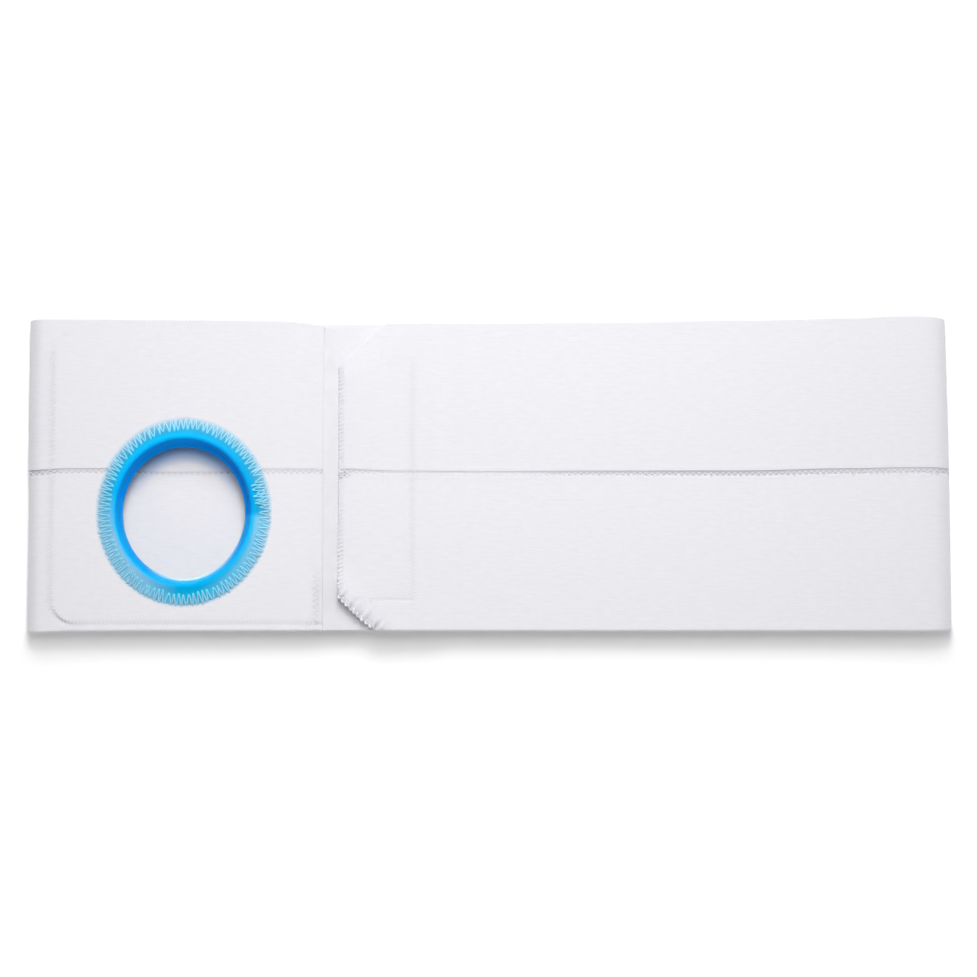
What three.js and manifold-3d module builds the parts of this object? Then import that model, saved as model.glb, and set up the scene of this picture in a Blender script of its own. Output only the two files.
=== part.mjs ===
// Ostomy support belt: a wide elastic belt with a pouch ring, closed into a loop and lying collapsed on a surface.
// Millimetres. +X runs along the belt, +Y across it towards its upper edge, +Z up from the surface it lies on.
// The origin is on that surface, under the middle of the belt.
import * as THREE from "three";
import { mergeVertices } from "three/addons/utils/BufferGeometryUtils.js";
import Module from "manifold-3d";

// The belt as it lies
const BELT_LENGTH = 451;
const BELT_WIDTH = 152.4;
const HOLLOW_HEIGHT = 5.2;
const FOLD_REACH = 12;

// Cloth
const BAND_THICKNESS = 1.6;
const PANEL_THICKNESS = 1.2;
const HOOK_THICKNESS = 1.4;
const PIECE_GAP = 0.3;
const SEAM_GAP = 0.6;

// Places along the belt
const BANDS_END_X = -80.6;
const TAB_END_X = -73.5;
const TAB_CUT_RUN = 23.5;
const TAB_STEP_LEFT_X = -34;
const TAB_STEP_RIGHT_X = -14;

// Cut corners of the tab: how far each cut climbs, and how high and how far inwards its edge curls up
const TAB_CORNERS = {
  top: { rise: 20, curlHeight: 0.8, curlReach: 14 },
  bottom: { rise: 16.5, curlHeight: 2.4, curlReach: 16 },
};

// Places across the belt: how far the top and bottom edges stand inside half the belt's width, and the seam's height.
// The back layer is straight. The front layer wanders a little, dips at the closure and flares at the folds.
const BACK_EDGES = { topInset: 0.4, seam: 3.2, bottomInset: 1.4 };
const FRONT_EDGES = [
  { x: -225, topInset: 0, seam: 2.8, bottomInset: -1.2 },
  { x: -205, topInset: -0.3, seam: 3.6, bottomInset: 0.4 },
  { x: -155, topInset: 0, seam: 3.8, bottomInset: 0.6 },
  { x: -100, topInset: 0.9, seam: 3.6, bottomInset: 0.6 },
  { x: -72, topInset: 2.6, seam: 3.6, bottomInset: 0.8 },
  { x: -45, topInset: 1.7, seam: 2.6, bottomInset: 0.6 },
  { x: 35, topInset: 1, seam: 2.4, bottomInset: 0.6 },
  { x: 125, topInset: 0.2, seam: 2.5, bottomInset: 0.6 },
  { x: 205, topInset: -1, seam: 4.1, bottomInset: 0.6 },
  { x: 225, topInset: -0.4, seam: 4.2, bottomInset: 0.6 },
];

// Backing panel, sewn behind the front left end and running on under the tab
const PANEL = { left: -214.5, right: -20, bottom: -73.6, topLeft: 73.6, topRight: 71.2, corner: 12 };
const HOOK = { left: -71, right: -37, bottom: -62, top: 58.6, corner: 3 };

// Pouch ring: a round section profile, drawn out into a slightly tall oval
const RING_CENTRE = { x: -149, y: -17.6 };
const RING_OVAL = { x: 0.962, y: 1.041 };
const RING_FLANGE_RADIUS = 44.2;
const CLOTH_HOLE_RADIUS = 36;
const RING_SEGMENTS = 64;

// Ring section, anticlockwise from the flange's underside: radius, and height over the flange's seat
const RING_SECTION = [
  { radius: 35.5, height: 0 },
  { radius: RING_FLANGE_RADIUS, height: 0 },
  { radius: RING_FLANGE_RADIUS, height: 0.7 },
  { radius: 41.6, height: 1.2 },
  { radius: 39.2, height: 2.0 },
  { radius: 37.6, height: 3.2 },
  { radius: 36.8, height: 3.6 },
  { radius: 35.2, height: 3.6 },
  { radius: 34.6, height: 3.1 },
  { radius: 32.2, height: -1.2 },
  { radius: 31.5, height: -2.6 },
  { radius: 33.4, height: -2.6 },
];

// Heights of the layers: middles of the bands, faces of the flat pieces
const BACK_MID_Z = BAND_THICKNESS / 2;
const PANEL_BOTTOM_Z = BAND_THICKNESS + HOLLOW_HEIGHT;
const PANEL_TOP_Z = PANEL_BOTTOM_Z + PANEL_THICKNESS;
const FRONT_MID_Z = PANEL_TOP_Z + PIECE_GAP + BAND_THICKNESS / 2;
const HOOK_BOTTOM_Z = PANEL_TOP_Z + PIECE_GAP;
const TAB_MID_Z = HOOK_BOTTOM_Z + HOOK_THICKNESS + PIECE_GAP + BAND_THICKNESS / 2;
const RING_SEAT_Z = FRONT_MID_Z + BAND_THICKNESS / 2 + PIECE_GAP;

// Where the straight layers start to turn into the folds
const TURN_X = BELT_LENGTH / 2 - FOLD_REACH;

// Shares of a band's width, from its outer edge to the seam, where its surface has a row of points
const ACROSS = [0, 0.06, 0.13, 0.22, 0.36, 1];

const wasm = await Module();
wasm.setup();

function solidOf(geometry) {
  const bare = geometry.clone();
  bare.deleteAttribute("normal");
  bare.deleteAttribute("uv");
  const merged = mergeVertices(bare, 1e-4);
  const triVerts = new Uint32Array(merged.index.array);
  const vertProperties = merged.attributes.position.array;
  return new wasm.Manifold(new wasm.Mesh({ numProp: 3, vertProperties, triVerts }));
}

function geometryOf(solid) {
  const mesh = solid.getMesh();
  const geometry = new THREE.BufferGeometry();
  geometry.setAttribute("position", new THREE.BufferAttribute(mesh.vertProperties, 3));
  geometry.setIndex(new THREE.BufferAttribute(mesh.triVerts, 1));
  geometry.computeVertexNormals();
  return geometry;
}

// Middle line of the bands in the XZ plane, from the cut end round both folds to the tab's end
function bandStations() {
  const foldMidZ = (BACK_MID_Z + FRONT_MID_Z) / 2;
  const foldHalfZ = (FRONT_MID_Z - BACK_MID_Z) / 2;
  const foldHalfX = FOLD_REACH - BAND_THICKNESS / 2;
  const stepMidX = (TAB_STEP_LEFT_X + TAB_STEP_RIGHT_X) / 2;
  const cutX = TAB_END_X + TAB_CUT_RUN;
  const at = (x, z) => new THREE.Vector2(x, z);
  const line = (x0, z0, x1, z1) => new THREE.LineCurve(at(x0, z0), at(x1, z1));
  const fold = (x, from, to) => new THREE.EllipseCurve(x, foldMidZ, foldHalfX, foldHalfZ, from, to);
  const step = new THREE.CubicBezierCurve(
    at(TAB_STEP_RIGHT_X, FRONT_MID_Z),
    at(stepMidX, FRONT_MID_Z),
    at(stepMidX, TAB_MID_Z),
    at(TAB_STEP_LEFT_X, TAB_MID_Z),
  );
  const quarter = Math.PI / 2;
  const sections = [
    { curve: line(BANDS_END_X, FRONT_MID_Z, -TURN_X, FRONT_MID_Z), steps: 10, onTab: false },
    { curve: fold(-TURN_X, quarter, 3 * quarter), steps: 14, onTab: false },
    { curve: line(-TURN_X, BACK_MID_Z, TURN_X, BACK_MID_Z), steps: 1, onTab: false },
    { curve: fold(TURN_X, -quarter, quarter), steps: 14, onTab: false },
    { curve: line(TURN_X, FRONT_MID_Z, TAB_STEP_RIGHT_X, FRONT_MID_Z), steps: 12, onTab: false },
    { curve: step, steps: 6, onTab: true },
    { curve: line(TAB_STEP_LEFT_X, TAB_MID_Z, cutX, TAB_MID_Z), steps: 3, onTab: true },
    { curve: line(cutX, TAB_MID_Z, TAB_END_X, TAB_MID_Z), steps: 6, onTab: true },
  ];
  const stations = [];
  for (const { curve, steps, onTab } of sections) {
    for (let i = stations.length ? 1 : 0; i <= steps; i++) {
      const middle = curve.getPoint(i / steps);
      const along = curve.getTangent(i / steps);
      stations.push({ x: middle.x, z: middle.y, outX: along.y, outZ: -along.x, onTab });
    }
  }
  return stations;
}

// Insets and seam of the front layer at x, easing from one row of the table to the next
function frontEdges(x) {
  const beyond = FRONT_EDGES.findIndex((row) => row.x > x);
  const next = beyond < 0 ? FRONT_EDGES.length - 1 : Math.max(beyond, 1);
  const [before, after] = [FRONT_EDGES[next - 1], FRONT_EDGES[next]];
  return mixEdges(before, after, THREE.MathUtils.smoothstep(x, before.x, after.x));
}

function mixEdges(from, to, share) {
  const mix = (name) => THREE.MathUtils.lerp(from[name], to[name], share);
  return { topInset: mix("topInset"), seam: mix("seam"), bottomInset: mix("bottomInset") };
}

// Edges and seam at a station: the back layer's, the front layer's, or between them in a fold
function edgesAt({ x, z, onTab }) {
  const share = THREE.MathUtils.clamp((z - BACK_MID_Z) / (FRONT_MID_Z - BACK_MID_Z), 0, 1);
  const { topInset, seam, bottomInset } = mixEdges(BACK_EDGES, frontEdges(x), share);
  const cut = onTab ? Math.max(0, 1 - (x - TAB_END_X) / TAB_CUT_RUN) : 0;
  return {
    top: BELT_WIDTH / 2 - topInset - TAB_CORNERS.top.rise * cut,
    seam,
    bottom: -BELT_WIDTH / 2 + bottomInset + TAB_CORNERS.bottom.rise * cut,
  };
}

// How high the tab's cut corner curls up at a point that lies inside the cut line
function curlAt({ x, onTab }, y, corner, outerEdge) {
  if (!onTab) return 0;
  const { rise, curlHeight, curlReach } = corner;
  const cutLength = Math.hypot(TAB_CUT_RUN, rise);
  const fromEnd = Math.max(0, x - TAB_END_X - TAB_CUT_RUN);
  const inside = (Math.abs(outerEdge - y) * TAB_CUT_RUN + fromEnd * rise) / cutLength;
  return curlHeight * Math.max(0, 1 - inside / curlReach) ** 2;
}

// One elastic band: a sheet of even thickness that follows the middle line, between its outer edge and the seam
function elasticBand(side) {
  const upper = side === "top";
  const shares = upper ? ACROSS.map((share) => 1 - share).reverse() : ACROSS;
  const rows = shares.length;
  const stations = bandStations();
  const points = [];
  for (const half of [BAND_THICKNESS / 2, -BAND_THICKNESS / 2]) {
    for (const station of stations) {
      const edges = edgesAt(station);
      const low = upper ? edges.seam + SEAM_GAP / 2 : edges.bottom;
      const high = upper ? edges.top : edges.seam - SEAM_GAP / 2;
      for (const share of shares) {
        const y = THREE.MathUtils.lerp(low, high, share);
        const curl = curlAt(station, y, TAB_CORNERS[side], edges[side]);
        points.push(station.x + half * station.outX, y, station.z + half * station.outZ + curl);
      }
    }
  }
  const last = stations.length - 1;
  const outer = (i, j) => i * rows + j;
  const inner = (i, j) => stations.length * rows + i * rows + j;
  const triangles = [];
  const quad = (a, b, c, d) => triangles.push(a, b, c, a, c, d);
  for (let i = 0; i < last; i++) {
    for (let j = 0; j < rows - 1; j++) {
      quad(outer(i, j), outer(i, j + 1), outer(i + 1, j + 1), outer(i + 1, j));
      quad(inner(i, j), inner(i + 1, j), inner(i + 1, j + 1), inner(i, j + 1));
    }
    quad(outer(i, 0), outer(i + 1, 0), inner(i + 1, 0), inner(i, 0));
    quad(outer(i + 1, rows - 1), outer(i, rows - 1), inner(i, rows - 1), inner(i + 1, rows - 1));
  }
  for (let j = 0; j < rows - 1; j++) {
    quad(outer(0, j), inner(0, j), inner(0, j + 1), outer(0, j + 1));
    quad(outer(last, j), outer(last, j + 1), inner(last, j + 1), inner(last, j));
  }
  const sheet = new THREE.BufferGeometry();
  sheet.setAttribute("position", new THREE.Float32BufferAttribute(points, 3));
  sheet.setIndex(triangles);
  return geometryOf(solidOf(sheet).subtract(solidOf(holeCutter())));
}

// Oval hole for the pouch ring, as an outline in the XY plane
function holeOutline(PathClass) {
  const outline = new PathClass();
  const halfX = CLOTH_HOLE_RADIUS * RING_OVAL.x;
  const halfY = CLOTH_HOLE_RADIUS * RING_OVAL.y;
  outline.absellipse(RING_CENTRE.x, RING_CENTRE.y, halfX, halfY, 0, 2 * Math.PI);
  return outline;
}

// Oval prism that passes through the front layer and stays clear of the back layer
function holeCutter() {
  const depth = RING_SEAT_Z - PANEL_TOP_Z + PIECE_GAP;
  const options = { depth, bevelEnabled: false, curveSegments: RING_SEGMENTS };
  return new THREE.ExtrudeGeometry(holeOutline(THREE.Shape), options).translate(0, 0, PANEL_TOP_Z);
}

// Flat outline with four rounded corners, whose top edge may slope
function roundedOutline({ left, right, bottom, topLeft, topRight, corner }) {
  const outline = new THREE.Shape();
  outline.moveTo(left + corner, bottom);
  outline.lineTo(right - corner, bottom);
  outline.quadraticCurveTo(right, bottom, right, bottom + corner);
  outline.lineTo(right, topRight - corner);
  outline.quadraticCurveTo(right, topRight, right - corner, topRight);
  outline.lineTo(left + corner, topLeft);
  outline.quadraticCurveTo(left, topLeft, left, topLeft - corner);
  outline.lineTo(left, bottom + corner);
  outline.quadraticCurveTo(left, bottom, left + corner, bottom);
  return outline;
}

function backingPanel() {
  const outline = roundedOutline(PANEL);
  const options = { depth: PANEL_THICKNESS, bevelEnabled: false, curveSegments: 10 };
  const sheet = new THREE.ExtrudeGeometry(outline, options);
  const cutter = holeCutter().translate(0, 0, -PANEL_TOP_Z - PIECE_GAP);
  return geometryOf(solidOf(sheet).subtract(solidOf(cutter)));
}

function hookPatch() {
  const outline = roundedOutline({ ...HOOK, topLeft: HOOK.top, topRight: HOOK.top });
  const options = { depth: HOOK_THICKNESS, bevelEnabled: false, curveSegments: 6 };
  return new THREE.ExtrudeGeometry(outline, options);
}

function pouchRing() {
  const closed = [...RING_SECTION, RING_SECTION[0]];
  const section = closed.map(({ radius, height }) => new THREE.Vector2(radius, height));
  const ring = new THREE.LatheGeometry(section, RING_SEGMENTS);
  return ring.rotateX(Math.PI / 2).scale(RING_OVAL.x, RING_OVAL.y, 1);
}

function cloth(color, roughness) {
  return new THREE.MeshStandardMaterial({ color, roughness, metalness: 0 });
}

const belt = new THREE.Group();

function addPiece(name, geometry, material, x = 0, y = 0, z = 0) {
  const piece = new THREE.Mesh(geometry, material);
  piece.name = name;
  piece.position.set(x, y, z);
  belt.add(piece);
}

const ringPlastic = new THREE.MeshStandardMaterial({ color: 0x14a7f0, roughness: 0.25, metalness: 0 });
addPiece("upper_band", elasticBand("top"), cloth(0xf1f0f6, 0.9));
addPiece("lower_band", elasticBand("bottom"), cloth(0xeeedf3, 0.9));
addPiece("backing_panel", backingPanel(), cloth(0xf3f2f7, 0.95), 0, 0, PANEL_BOTTOM_Z);
addPiece("hook_patch", hookPatch(), cloth(0xeceaf0, 0.8), 0, 0, HOOK_BOTTOM_Z);
addPiece("pouch_ring", pouchRing(), ringPlastic, RING_CENTRE.x, RING_CENTRE.y, RING_SEAT_Z);

export default belt;
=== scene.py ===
# %% [markdown]
# # An ostomy support belt, lying closed on a table
# The belt is two elastic bands joined edge to edge, folded into a flat loop. A cloth panel backs its front
# left end, a tab with a hook patch closes it, and a blue ring is stitched round the hole that a pouch
# passes through. Each piece is worked out as a surface with numpy, in metres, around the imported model,
# which gives the places.

# %% Load the frame
import math

import bpy
import numpy as np
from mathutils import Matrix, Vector


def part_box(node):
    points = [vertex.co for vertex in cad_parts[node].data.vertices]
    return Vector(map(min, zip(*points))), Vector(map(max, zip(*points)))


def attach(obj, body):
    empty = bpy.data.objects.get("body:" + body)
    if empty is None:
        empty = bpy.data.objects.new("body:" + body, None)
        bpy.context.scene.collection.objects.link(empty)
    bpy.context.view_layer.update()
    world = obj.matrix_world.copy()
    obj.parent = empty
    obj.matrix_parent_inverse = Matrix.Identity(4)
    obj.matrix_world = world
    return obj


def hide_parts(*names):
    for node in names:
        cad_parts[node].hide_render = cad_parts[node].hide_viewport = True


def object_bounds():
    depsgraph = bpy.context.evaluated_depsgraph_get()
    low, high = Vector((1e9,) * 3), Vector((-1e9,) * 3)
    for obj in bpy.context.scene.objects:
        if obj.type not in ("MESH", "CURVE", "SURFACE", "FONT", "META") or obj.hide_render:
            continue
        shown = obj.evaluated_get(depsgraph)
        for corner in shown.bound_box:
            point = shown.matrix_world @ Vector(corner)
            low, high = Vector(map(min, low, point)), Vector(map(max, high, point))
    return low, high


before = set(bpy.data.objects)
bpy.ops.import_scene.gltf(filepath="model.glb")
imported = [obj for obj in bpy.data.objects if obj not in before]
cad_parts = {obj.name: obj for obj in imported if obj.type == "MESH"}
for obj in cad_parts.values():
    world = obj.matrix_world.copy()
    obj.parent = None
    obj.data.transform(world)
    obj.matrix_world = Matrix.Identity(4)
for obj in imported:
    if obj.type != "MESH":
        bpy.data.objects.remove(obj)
cad_low, cad_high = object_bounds()
MM = 0.001
ring_low, ring_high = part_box("pouch_ring")
RING_X = (ring_low.x + ring_high.x) / 2
RING_Y = (ring_low.y + ring_high.y) / 2
RING_FLANGE_RADIUS = 44.2 * MM
RING_OVAL = (
    (ring_high.x - ring_low.x) / (2 * RING_FLANGE_RADIUS),
    (ring_high.y - ring_low.y) / (2 * RING_FLANGE_RADIUS),
)
print("belt box in mm:", [round(v / MM, 1) for v in (*cad_low, *cad_high)])

# %% [markdown]
# ## Camera
# The photograph looks almost straight down: the belt's far edge is about one hundredth shorter than its
# near edge. A camera about 1.4 m away, tipped 5 degrees from the vertical, gives that. Its lens is worked
# out from the length that the frame has to span, so that the camera needs no shift.

# %% Camera
CAMERA_DISTANCE = 1400 * MM
CAMERA_ELEVATION = math.radians(85)
FRAME_SPAN = 478.7 * MM
AIM = Vector((0.2 * MM, -5.9 * MM, 9.5 * MM))

camera_data = bpy.data.cameras.new("photo_camera")
camera_data.lens = camera_data.sensor_width * CAMERA_DISTANCE / FRAME_SPAN
camera = bpy.data.objects.new("photo_camera", camera_data)
camera.location = AIM + CAMERA_DISTANCE * Vector((0, -math.cos(CAMERA_ELEVATION), math.sin(CAMERA_ELEVATION)))
camera.rotation_euler = (math.pi / 2 - CAMERA_ELEVATION, 0, 0)
bpy.context.scene.collection.objects.link(camera)
bpy.context.scene.camera = camera
print("lens in mm:", round(camera_data.lens, 1))

# %% [markdown]
# ## Light and floor
# The belt lies on white paper under bright studio light. The only shadows are below its lower edge and
# inside the ring, so two soft boxes stand beyond the upper edge, one about halfway up and one higher, with
# their light kept near their axes. Two more stand low beyond the near corners, for the folds, and the room
# adds a little. Even light from all round would be simpler, but it would leave no shadow and no dark fold.
# The paper has no tone left in the photo, which a faint glow of its own gives: weak beside the belt, where
# the shadow has to show, and stronger further out.

# %% Light and floor
SOFT_BOXES = [
    ("key_soft_box", (0.01, 0.855, 0.77), (0.5, 0.5), 2.27, 100),
    ("top_soft_box", (0.01, 0.427, 0.96), (0.6, 0.75), 1.72, 100),
    ("left_soft_box", (-1.2, -0.7, 0.45), (0.45, 0.45), 2.1, 180),
    ("right_soft_box", (1.2, -0.7, 0.45), (0.45, 0.45), 2.1, 180),
]
WORLD_STRENGTH = 0.27
FLOOR_HALF = 14.0


def soft_box(name, place, size, power, spread):
    """A rectangular area light at a place, facing the belt, whose light spreads by an angle in degrees."""
    data = bpy.data.lights.new(name, "AREA")
    data.shape = "RECTANGLE"
    data.size, data.size_y = size
    data.energy = power
    data.spread = math.radians(spread)
    light = bpy.data.objects.new(name, data)
    light.location = place
    light.rotation_euler = (-Vector(place)).to_track_quat("-Z", "Y").to_euler()
    bpy.context.scene.collection.objects.link(light)


for box in SOFT_BOXES:
    soft_box(*box)

world = bpy.data.worlds.new("white_room")
world.use_nodes = True
world.node_tree.nodes["Background"].inputs["Color"].default_value = (1, 1, 1, 1)
world.node_tree.nodes["Background"].inputs["Strength"].default_value = WORLD_STRENGTH
bpy.context.scene.world = world
bpy.context.scene.view_settings.view_transform = "Standard"

floor_mesh = bpy.data.meshes.new("white_sweep")
floor_corners = [(x, y, 0) for x, y in ((-1, -1), (1, -1), (1, 1), (-1, 1))]
floor_mesh.from_pydata([Vector(c) * FLOOR_HALF for c in floor_corners], [], [(0, 1, 2, 3)])
floor = bpy.data.objects.new("white_sweep", floor_mesh)
bpy.context.scene.collection.objects.link(floor)
print("soft boxes:", len(SOFT_BOXES))

# %% [markdown]
# ## Node helpers
# Every finish below is a node graph. A small class keeps the graphs readable: each of its methods adds a
# node, fills its sockets and gives back what comes out of it. Values that are the same all over a surface
# go straight on the shader's sockets. The floor's paper is the first finish made with it.

# %% Node helpers
class Finish:
    """A material in the making, to which nodes are added one by one."""

    def __init__(self, name):
        self.material = bpy.data.materials.new(name)
        self.material.use_nodes = True
        self.tree = self.material.node_tree

    def fill(self, node, sockets):
        """Fills sockets by name or number: another node's socket is linked, a plain value is set."""
        for key, value in sockets.items():
            if isinstance(value, bpy.types.NodeSocket):
                self.tree.links.new(value, node.inputs[key])
            else:
                node.inputs[key].default_value = value

    def add(self, kind, sockets=None, **settings):
        """Any node, with its settings and its sockets filled."""
        node = self.tree.nodes.new("ShaderNode" + kind)
        for key, value in settings.items():
            setattr(node, key, value)
        self.fill(node, sockets or {})
        return node

    def step(self, operation, *values, clamp=False):
        """One step of arithmetic, whose result may be kept between 0 and 1."""
        return self.add("Math", dict(enumerate(values)), operation=operation, use_clamp=clamp).outputs[0]

    def times(self, first, second):
        """The product of two values."""
        return self.step("MULTIPLY", first, second)

    def line(self, value, slope, start):
        """A straight line: a value times a slope, plus a start."""
        return self.step("MULTIPLY_ADD", value, slope, start)

    def share(self, value, slope, start):
        """A straight line that is kept between 0 and 1."""
        return self.step("MULTIPLY_ADD", value, slope, start, clamp=True)

    def ramp(self, value, start, end):
        """A share that grows evenly from 0 at a start to 1 at an end, and stays there."""
        slope = 1 / (end - start)
        return self.share(value, slope, -start * slope)

    def mix(self, factor, first, second, blend="MIX"):
        """A colour between two, each given as three numbers or as a socket."""
        pair = [c if isinstance(c, bpy.types.NodeSocket) else (*c, 1) for c in (first, second)]
        sockets = {0: factor, 6: pair[0], 7: pair[1]}
        return self.add("Mix", sockets, data_type="RGBA", blend_type=blend).outputs[2]

    def noise(self, place, scale, detail, roughness=0.5):
        """Smooth noise of a place."""
        sockets = {"Vector": place, "Scale": scale, "Detail": detail, "Roughness": roughness}
        return self.add("TexNoise", sockets).outputs["Fac"]

    def object_place(self):
        """A point's place in the belt's own frame."""
        return self.add("TexCoord").outputs["Object"]

    def uv_place(self):
        """A point's place in the piece's own UV map."""
        return self.add("UVMap").outputs["UV"]

    def parts(self, vector):
        """A vector's three parts."""
        return tuple(self.add("SeparateXYZ", {"Vector": vector}).outputs)

    def shade(self, sockets):
        """Fills the shader's sockets and gives back the finished material."""
        self.fill(self.tree.nodes["Principled BSDF"], sockets)
        return self.material

    def bump(self, strength, distance, height):
        """A surface direction tilted as if the surface had a height."""
        sockets = {"Strength": strength, "Distance": distance, "Height": height}
        return self.add("Bump", sockets).outputs["Normal"]


def ring_polar(finish):
    """A point's distance from the ring's middle with the oval made round, its cosine, sine and height."""
    step, times = finish.step, finish.times
    x, y, z = finish.parts(finish.object_place())
    x = times(step("SUBTRACT", x, RING_X), 1 / RING_OVAL[0])
    y = times(step("SUBTRACT", y, RING_Y), 1 / RING_OVAL[1])
    radius = step("SQRT", step("ADD", times(x, x), times(y, y)))
    return radius, step("DIVIDE", x, radius), step("DIVIDE", y, radius), z


GLOW_BOX = (226.5 * MM, 88 * MM)
GLOW_EVERYWHERE = 0.077
GLOW_BESIDE_ENDS = 0.2
GLOW_OUTER = 0.6
GLOW_OUTER_REACH = 150 * MM


def glowing_paper(name):
    """White paper whose glow grows with the distance past a box round the belt, at once beside its ends."""
    finish = Finish(name)
    step, times = finish.step, finish.times
    x, y, _ = finish.parts(finish.object_place())
    past_x = step("SUBTRACT", step("ABSOLUTE", x), GLOW_BOX[0])
    past_y = step("SUBTRACT", step("ABSOLUTE", y), GLOW_BOX[1])
    above_shadow = finish.share(y, 120.0, 9.3)
    beside = times(finish.ramp(past_x, 0.0, 2 * MM), GLOW_BESIDE_ENDS)
    outer = times(finish.ramp(step("MAXIMUM", past_x, past_y), 0.0, GLOW_OUTER_REACH), GLOW_OUTER)
    glow = step("ADD", step("MAXIMUM", times(beside, above_shadow), outer), GLOW_EVERYWHERE)
    return finish.shade({
        "Emission Strength": glow,
        "Emission Color": (1, 1, 1, 1),
        "Base Color": (1, 1, 1, 1),
        "Roughness": 0.9,
        "Specular IOR Level": 0.0,
    })


floor_material = glowing_paper("white_sweep_paper")
floor_mesh.materials.append(floor_material)
print("floor finish:", floor_material.name)

# %% [markdown]
# ## Woven elastic
# The bands are heavy woven elastic: rubber cords run along the belt as low ribs, and the weft crosses them
# in short staggered bars. An image of cloth would need a file, and modelled yarns would cost millions of
# faces, so the ribs and bars are waves of the band's own UV map, which measures tenths of a metre along and
# across the cloth, fed into a bump. The colour is painted darker where the weave is low, as shade. Painted
# shade also darkens creases, folds, the seam's groove, the cut ends, the cloth by the tab's lower cut and
# the stitch lines, which the band carries as an attribute. Near the ring the white cloth takes some of its
# blue: a painted blue shadow under the ring's upper wall, and the fuzz of its stitches. The inner face that
# the hole shows is painted a little lighter, and so is the whole lower band.

# %% Woven elastic
UV_SCALE = 10.0
RIB_PITCH = 1.25 * MM
BAR_PITCH = 1.7 * MM
# Painted shade: the colour that the band's shade attribute darkens the cloth towards.
PAINTED_SHADE_TINT = (0.6, 0.59, 0.62)
# Painted blue shadow: the tint of the inner face under the ring's upper wall.
PAINTED_RING_SHADOW = (0.4, 0.63, 1.0)
# Painted light: the inner face that the hole shows is made a little lighter.
INNER_FACE_PAINTED_LIGHT = (1.05, 1.035, 1.01)
STITCH_HAZE = (0.6, 0.82, 0.94)
HOLE_EDGE = (40 * MM, 36 * MM)
# How far from the ring's middle the painted blue shadow fades in.
PAINTED_RING_SHADOW_REACH = (23.5 * MM, 29.5 * MM)
STITCH_HAZE_REACH = (45.2 * MM, 43.6 * MM)
STREAK_STRETCH = (14.0, 90.0)
PATCH_STRETCH = (25.0, 45.0)


def woven_elastic(name, colour, valley_colour):
    """Ribs along the band and staggered bars across it.

    Rib height is the sine of the place within a rib. Bar height is a cosine along the band, shifted half a
    pitch on every second rib. Their product is the weave, which shows in patches, and noise drawn out along
    the band makes it uneven. The colour follows both: it is darker where the weave is low, as painted shade,
    and it varies with the noise. The tints after it are shares of four colours: the band's painted shade,
    painted light on the inner face that the hole shows, a painted blue shadow under the ring's upper wall
    on that face, and the haze of the ring's stitches on the front.
    """
    finish = Finish(name)
    step, times, line = finish.step, finish.times, finish.line
    along, across, _ = finish.parts(finish.uv_place())

    def drawn_out(stretch, detail, roughness=0.5):
        """Noise that is stretched along and across the band."""
        place = {"X": times(along, stretch[0]), "Y": times(across, stretch[1])}
        return finish.noise(finish.add("CombineXYZ", place).outputs["Vector"], 1.0, detail, roughness)

    ribs = times(across, 1 / (UV_SCALE * RIB_PITCH))
    rib = step("SINE", times(step("FRACT", ribs), math.pi))
    shift = times(step("MODULO", step("FLOOR", ribs), 2.0), 0.5)
    bars = step("ADD", times(along, 1 / (UV_SCALE * BAR_PITCH)), shift)
    bar = step("COSINE", times(bars, 2 * math.pi))
    weave = times(rib, line(bar, 0.15, 0.85))
    streak = drawn_out(STREAK_STRETCH, 3.0, 0.6)
    patches = finish.share(drawn_out(PATCH_STRETCH, 1.0), 3.0, -1.1)
    shown = times(weave, patches)
    tone = line(streak, 0.9, line(shown, 0.3, 0.1))
    radius, _, sine, z = ring_polar(finish)
    on_back = times(step("GREATER_THAN", z, 0.8 * MM), step("LESS_THAN", z, 3 * MM))
    # Where the inner face shows in the hole, which is painted lighter there.
    in_hole = times(finish.ramp(radius, *HOLE_EDGE), on_back)
    upper_side = finish.share(sine, 1.6, -0.45)
    near_wall = times(finish.ramp(radius, *PAINTED_RING_SHADOW_REACH), upper_side)
    # Painted blue shadow on the inner face, under the ring's upper wall.
    painted_ring_shadow_share = times(near_wall, in_hole)
    haze = times(finish.ramp(radius, *STITCH_HAZE_REACH), step("GREATER_THAN", z, 6 * MM))
    # The band's painted shade, carried as its shade attribute.
    shade = finish.add("Attribute", attribute_name="shade").outputs["Fac"]
    # Darker where the weave is low, as painted shade of its valleys, and varied at random by the streaks.
    cloth_colour = finish.mix(tone, valley_colour, colour)
    tints = (shade, PAINTED_SHADE_TINT), (in_hole, INNER_FACE_PAINTED_LIGHT), (painted_ring_shadow_share, PAINTED_RING_SHADOW), (haze, STITCH_HAZE)
    for factor, tint in tints:
        cloth_colour = finish.mix(factor, cloth_colour, tint, "MULTIPLY")
    return finish.shade({
        "Base Color": cloth_colour,
        "Normal": finish.bump(0.3, 0.1 * MM, line(streak, 1.2, shown)),
        "Roughness": 0.85,
        "Specular IOR Level": 0.15,
        "Sheen Weight": 0.12,
        "Sheen Roughness": 0.5,
    })


elastic_upper = woven_elastic("elastic_upper", (0.838, 0.833, 0.868), (0.76, 0.75, 0.795))
# Painted light: the lower band is a little lighter, to even out the dimmer light towards the lower edge.
elastic_lower = woven_elastic("elastic_lower", (0.848, 0.843, 0.878), (0.77, 0.76, 0.803))
print("weave pitch in mm:", RIB_PITCH / MM, BAR_PITCH / MM)

# %% [markdown]
# ## Loop cloth and hook tape
# The backing panel is brushed loop cloth: a mat of tiny loops with no direction. The hook patch is stiff
# tape with rows of small hooks. Modelled loops and hooks would be too small to see, so noise makes the one
# finish and two crossed waves the other, both in Object coordinates.

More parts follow.
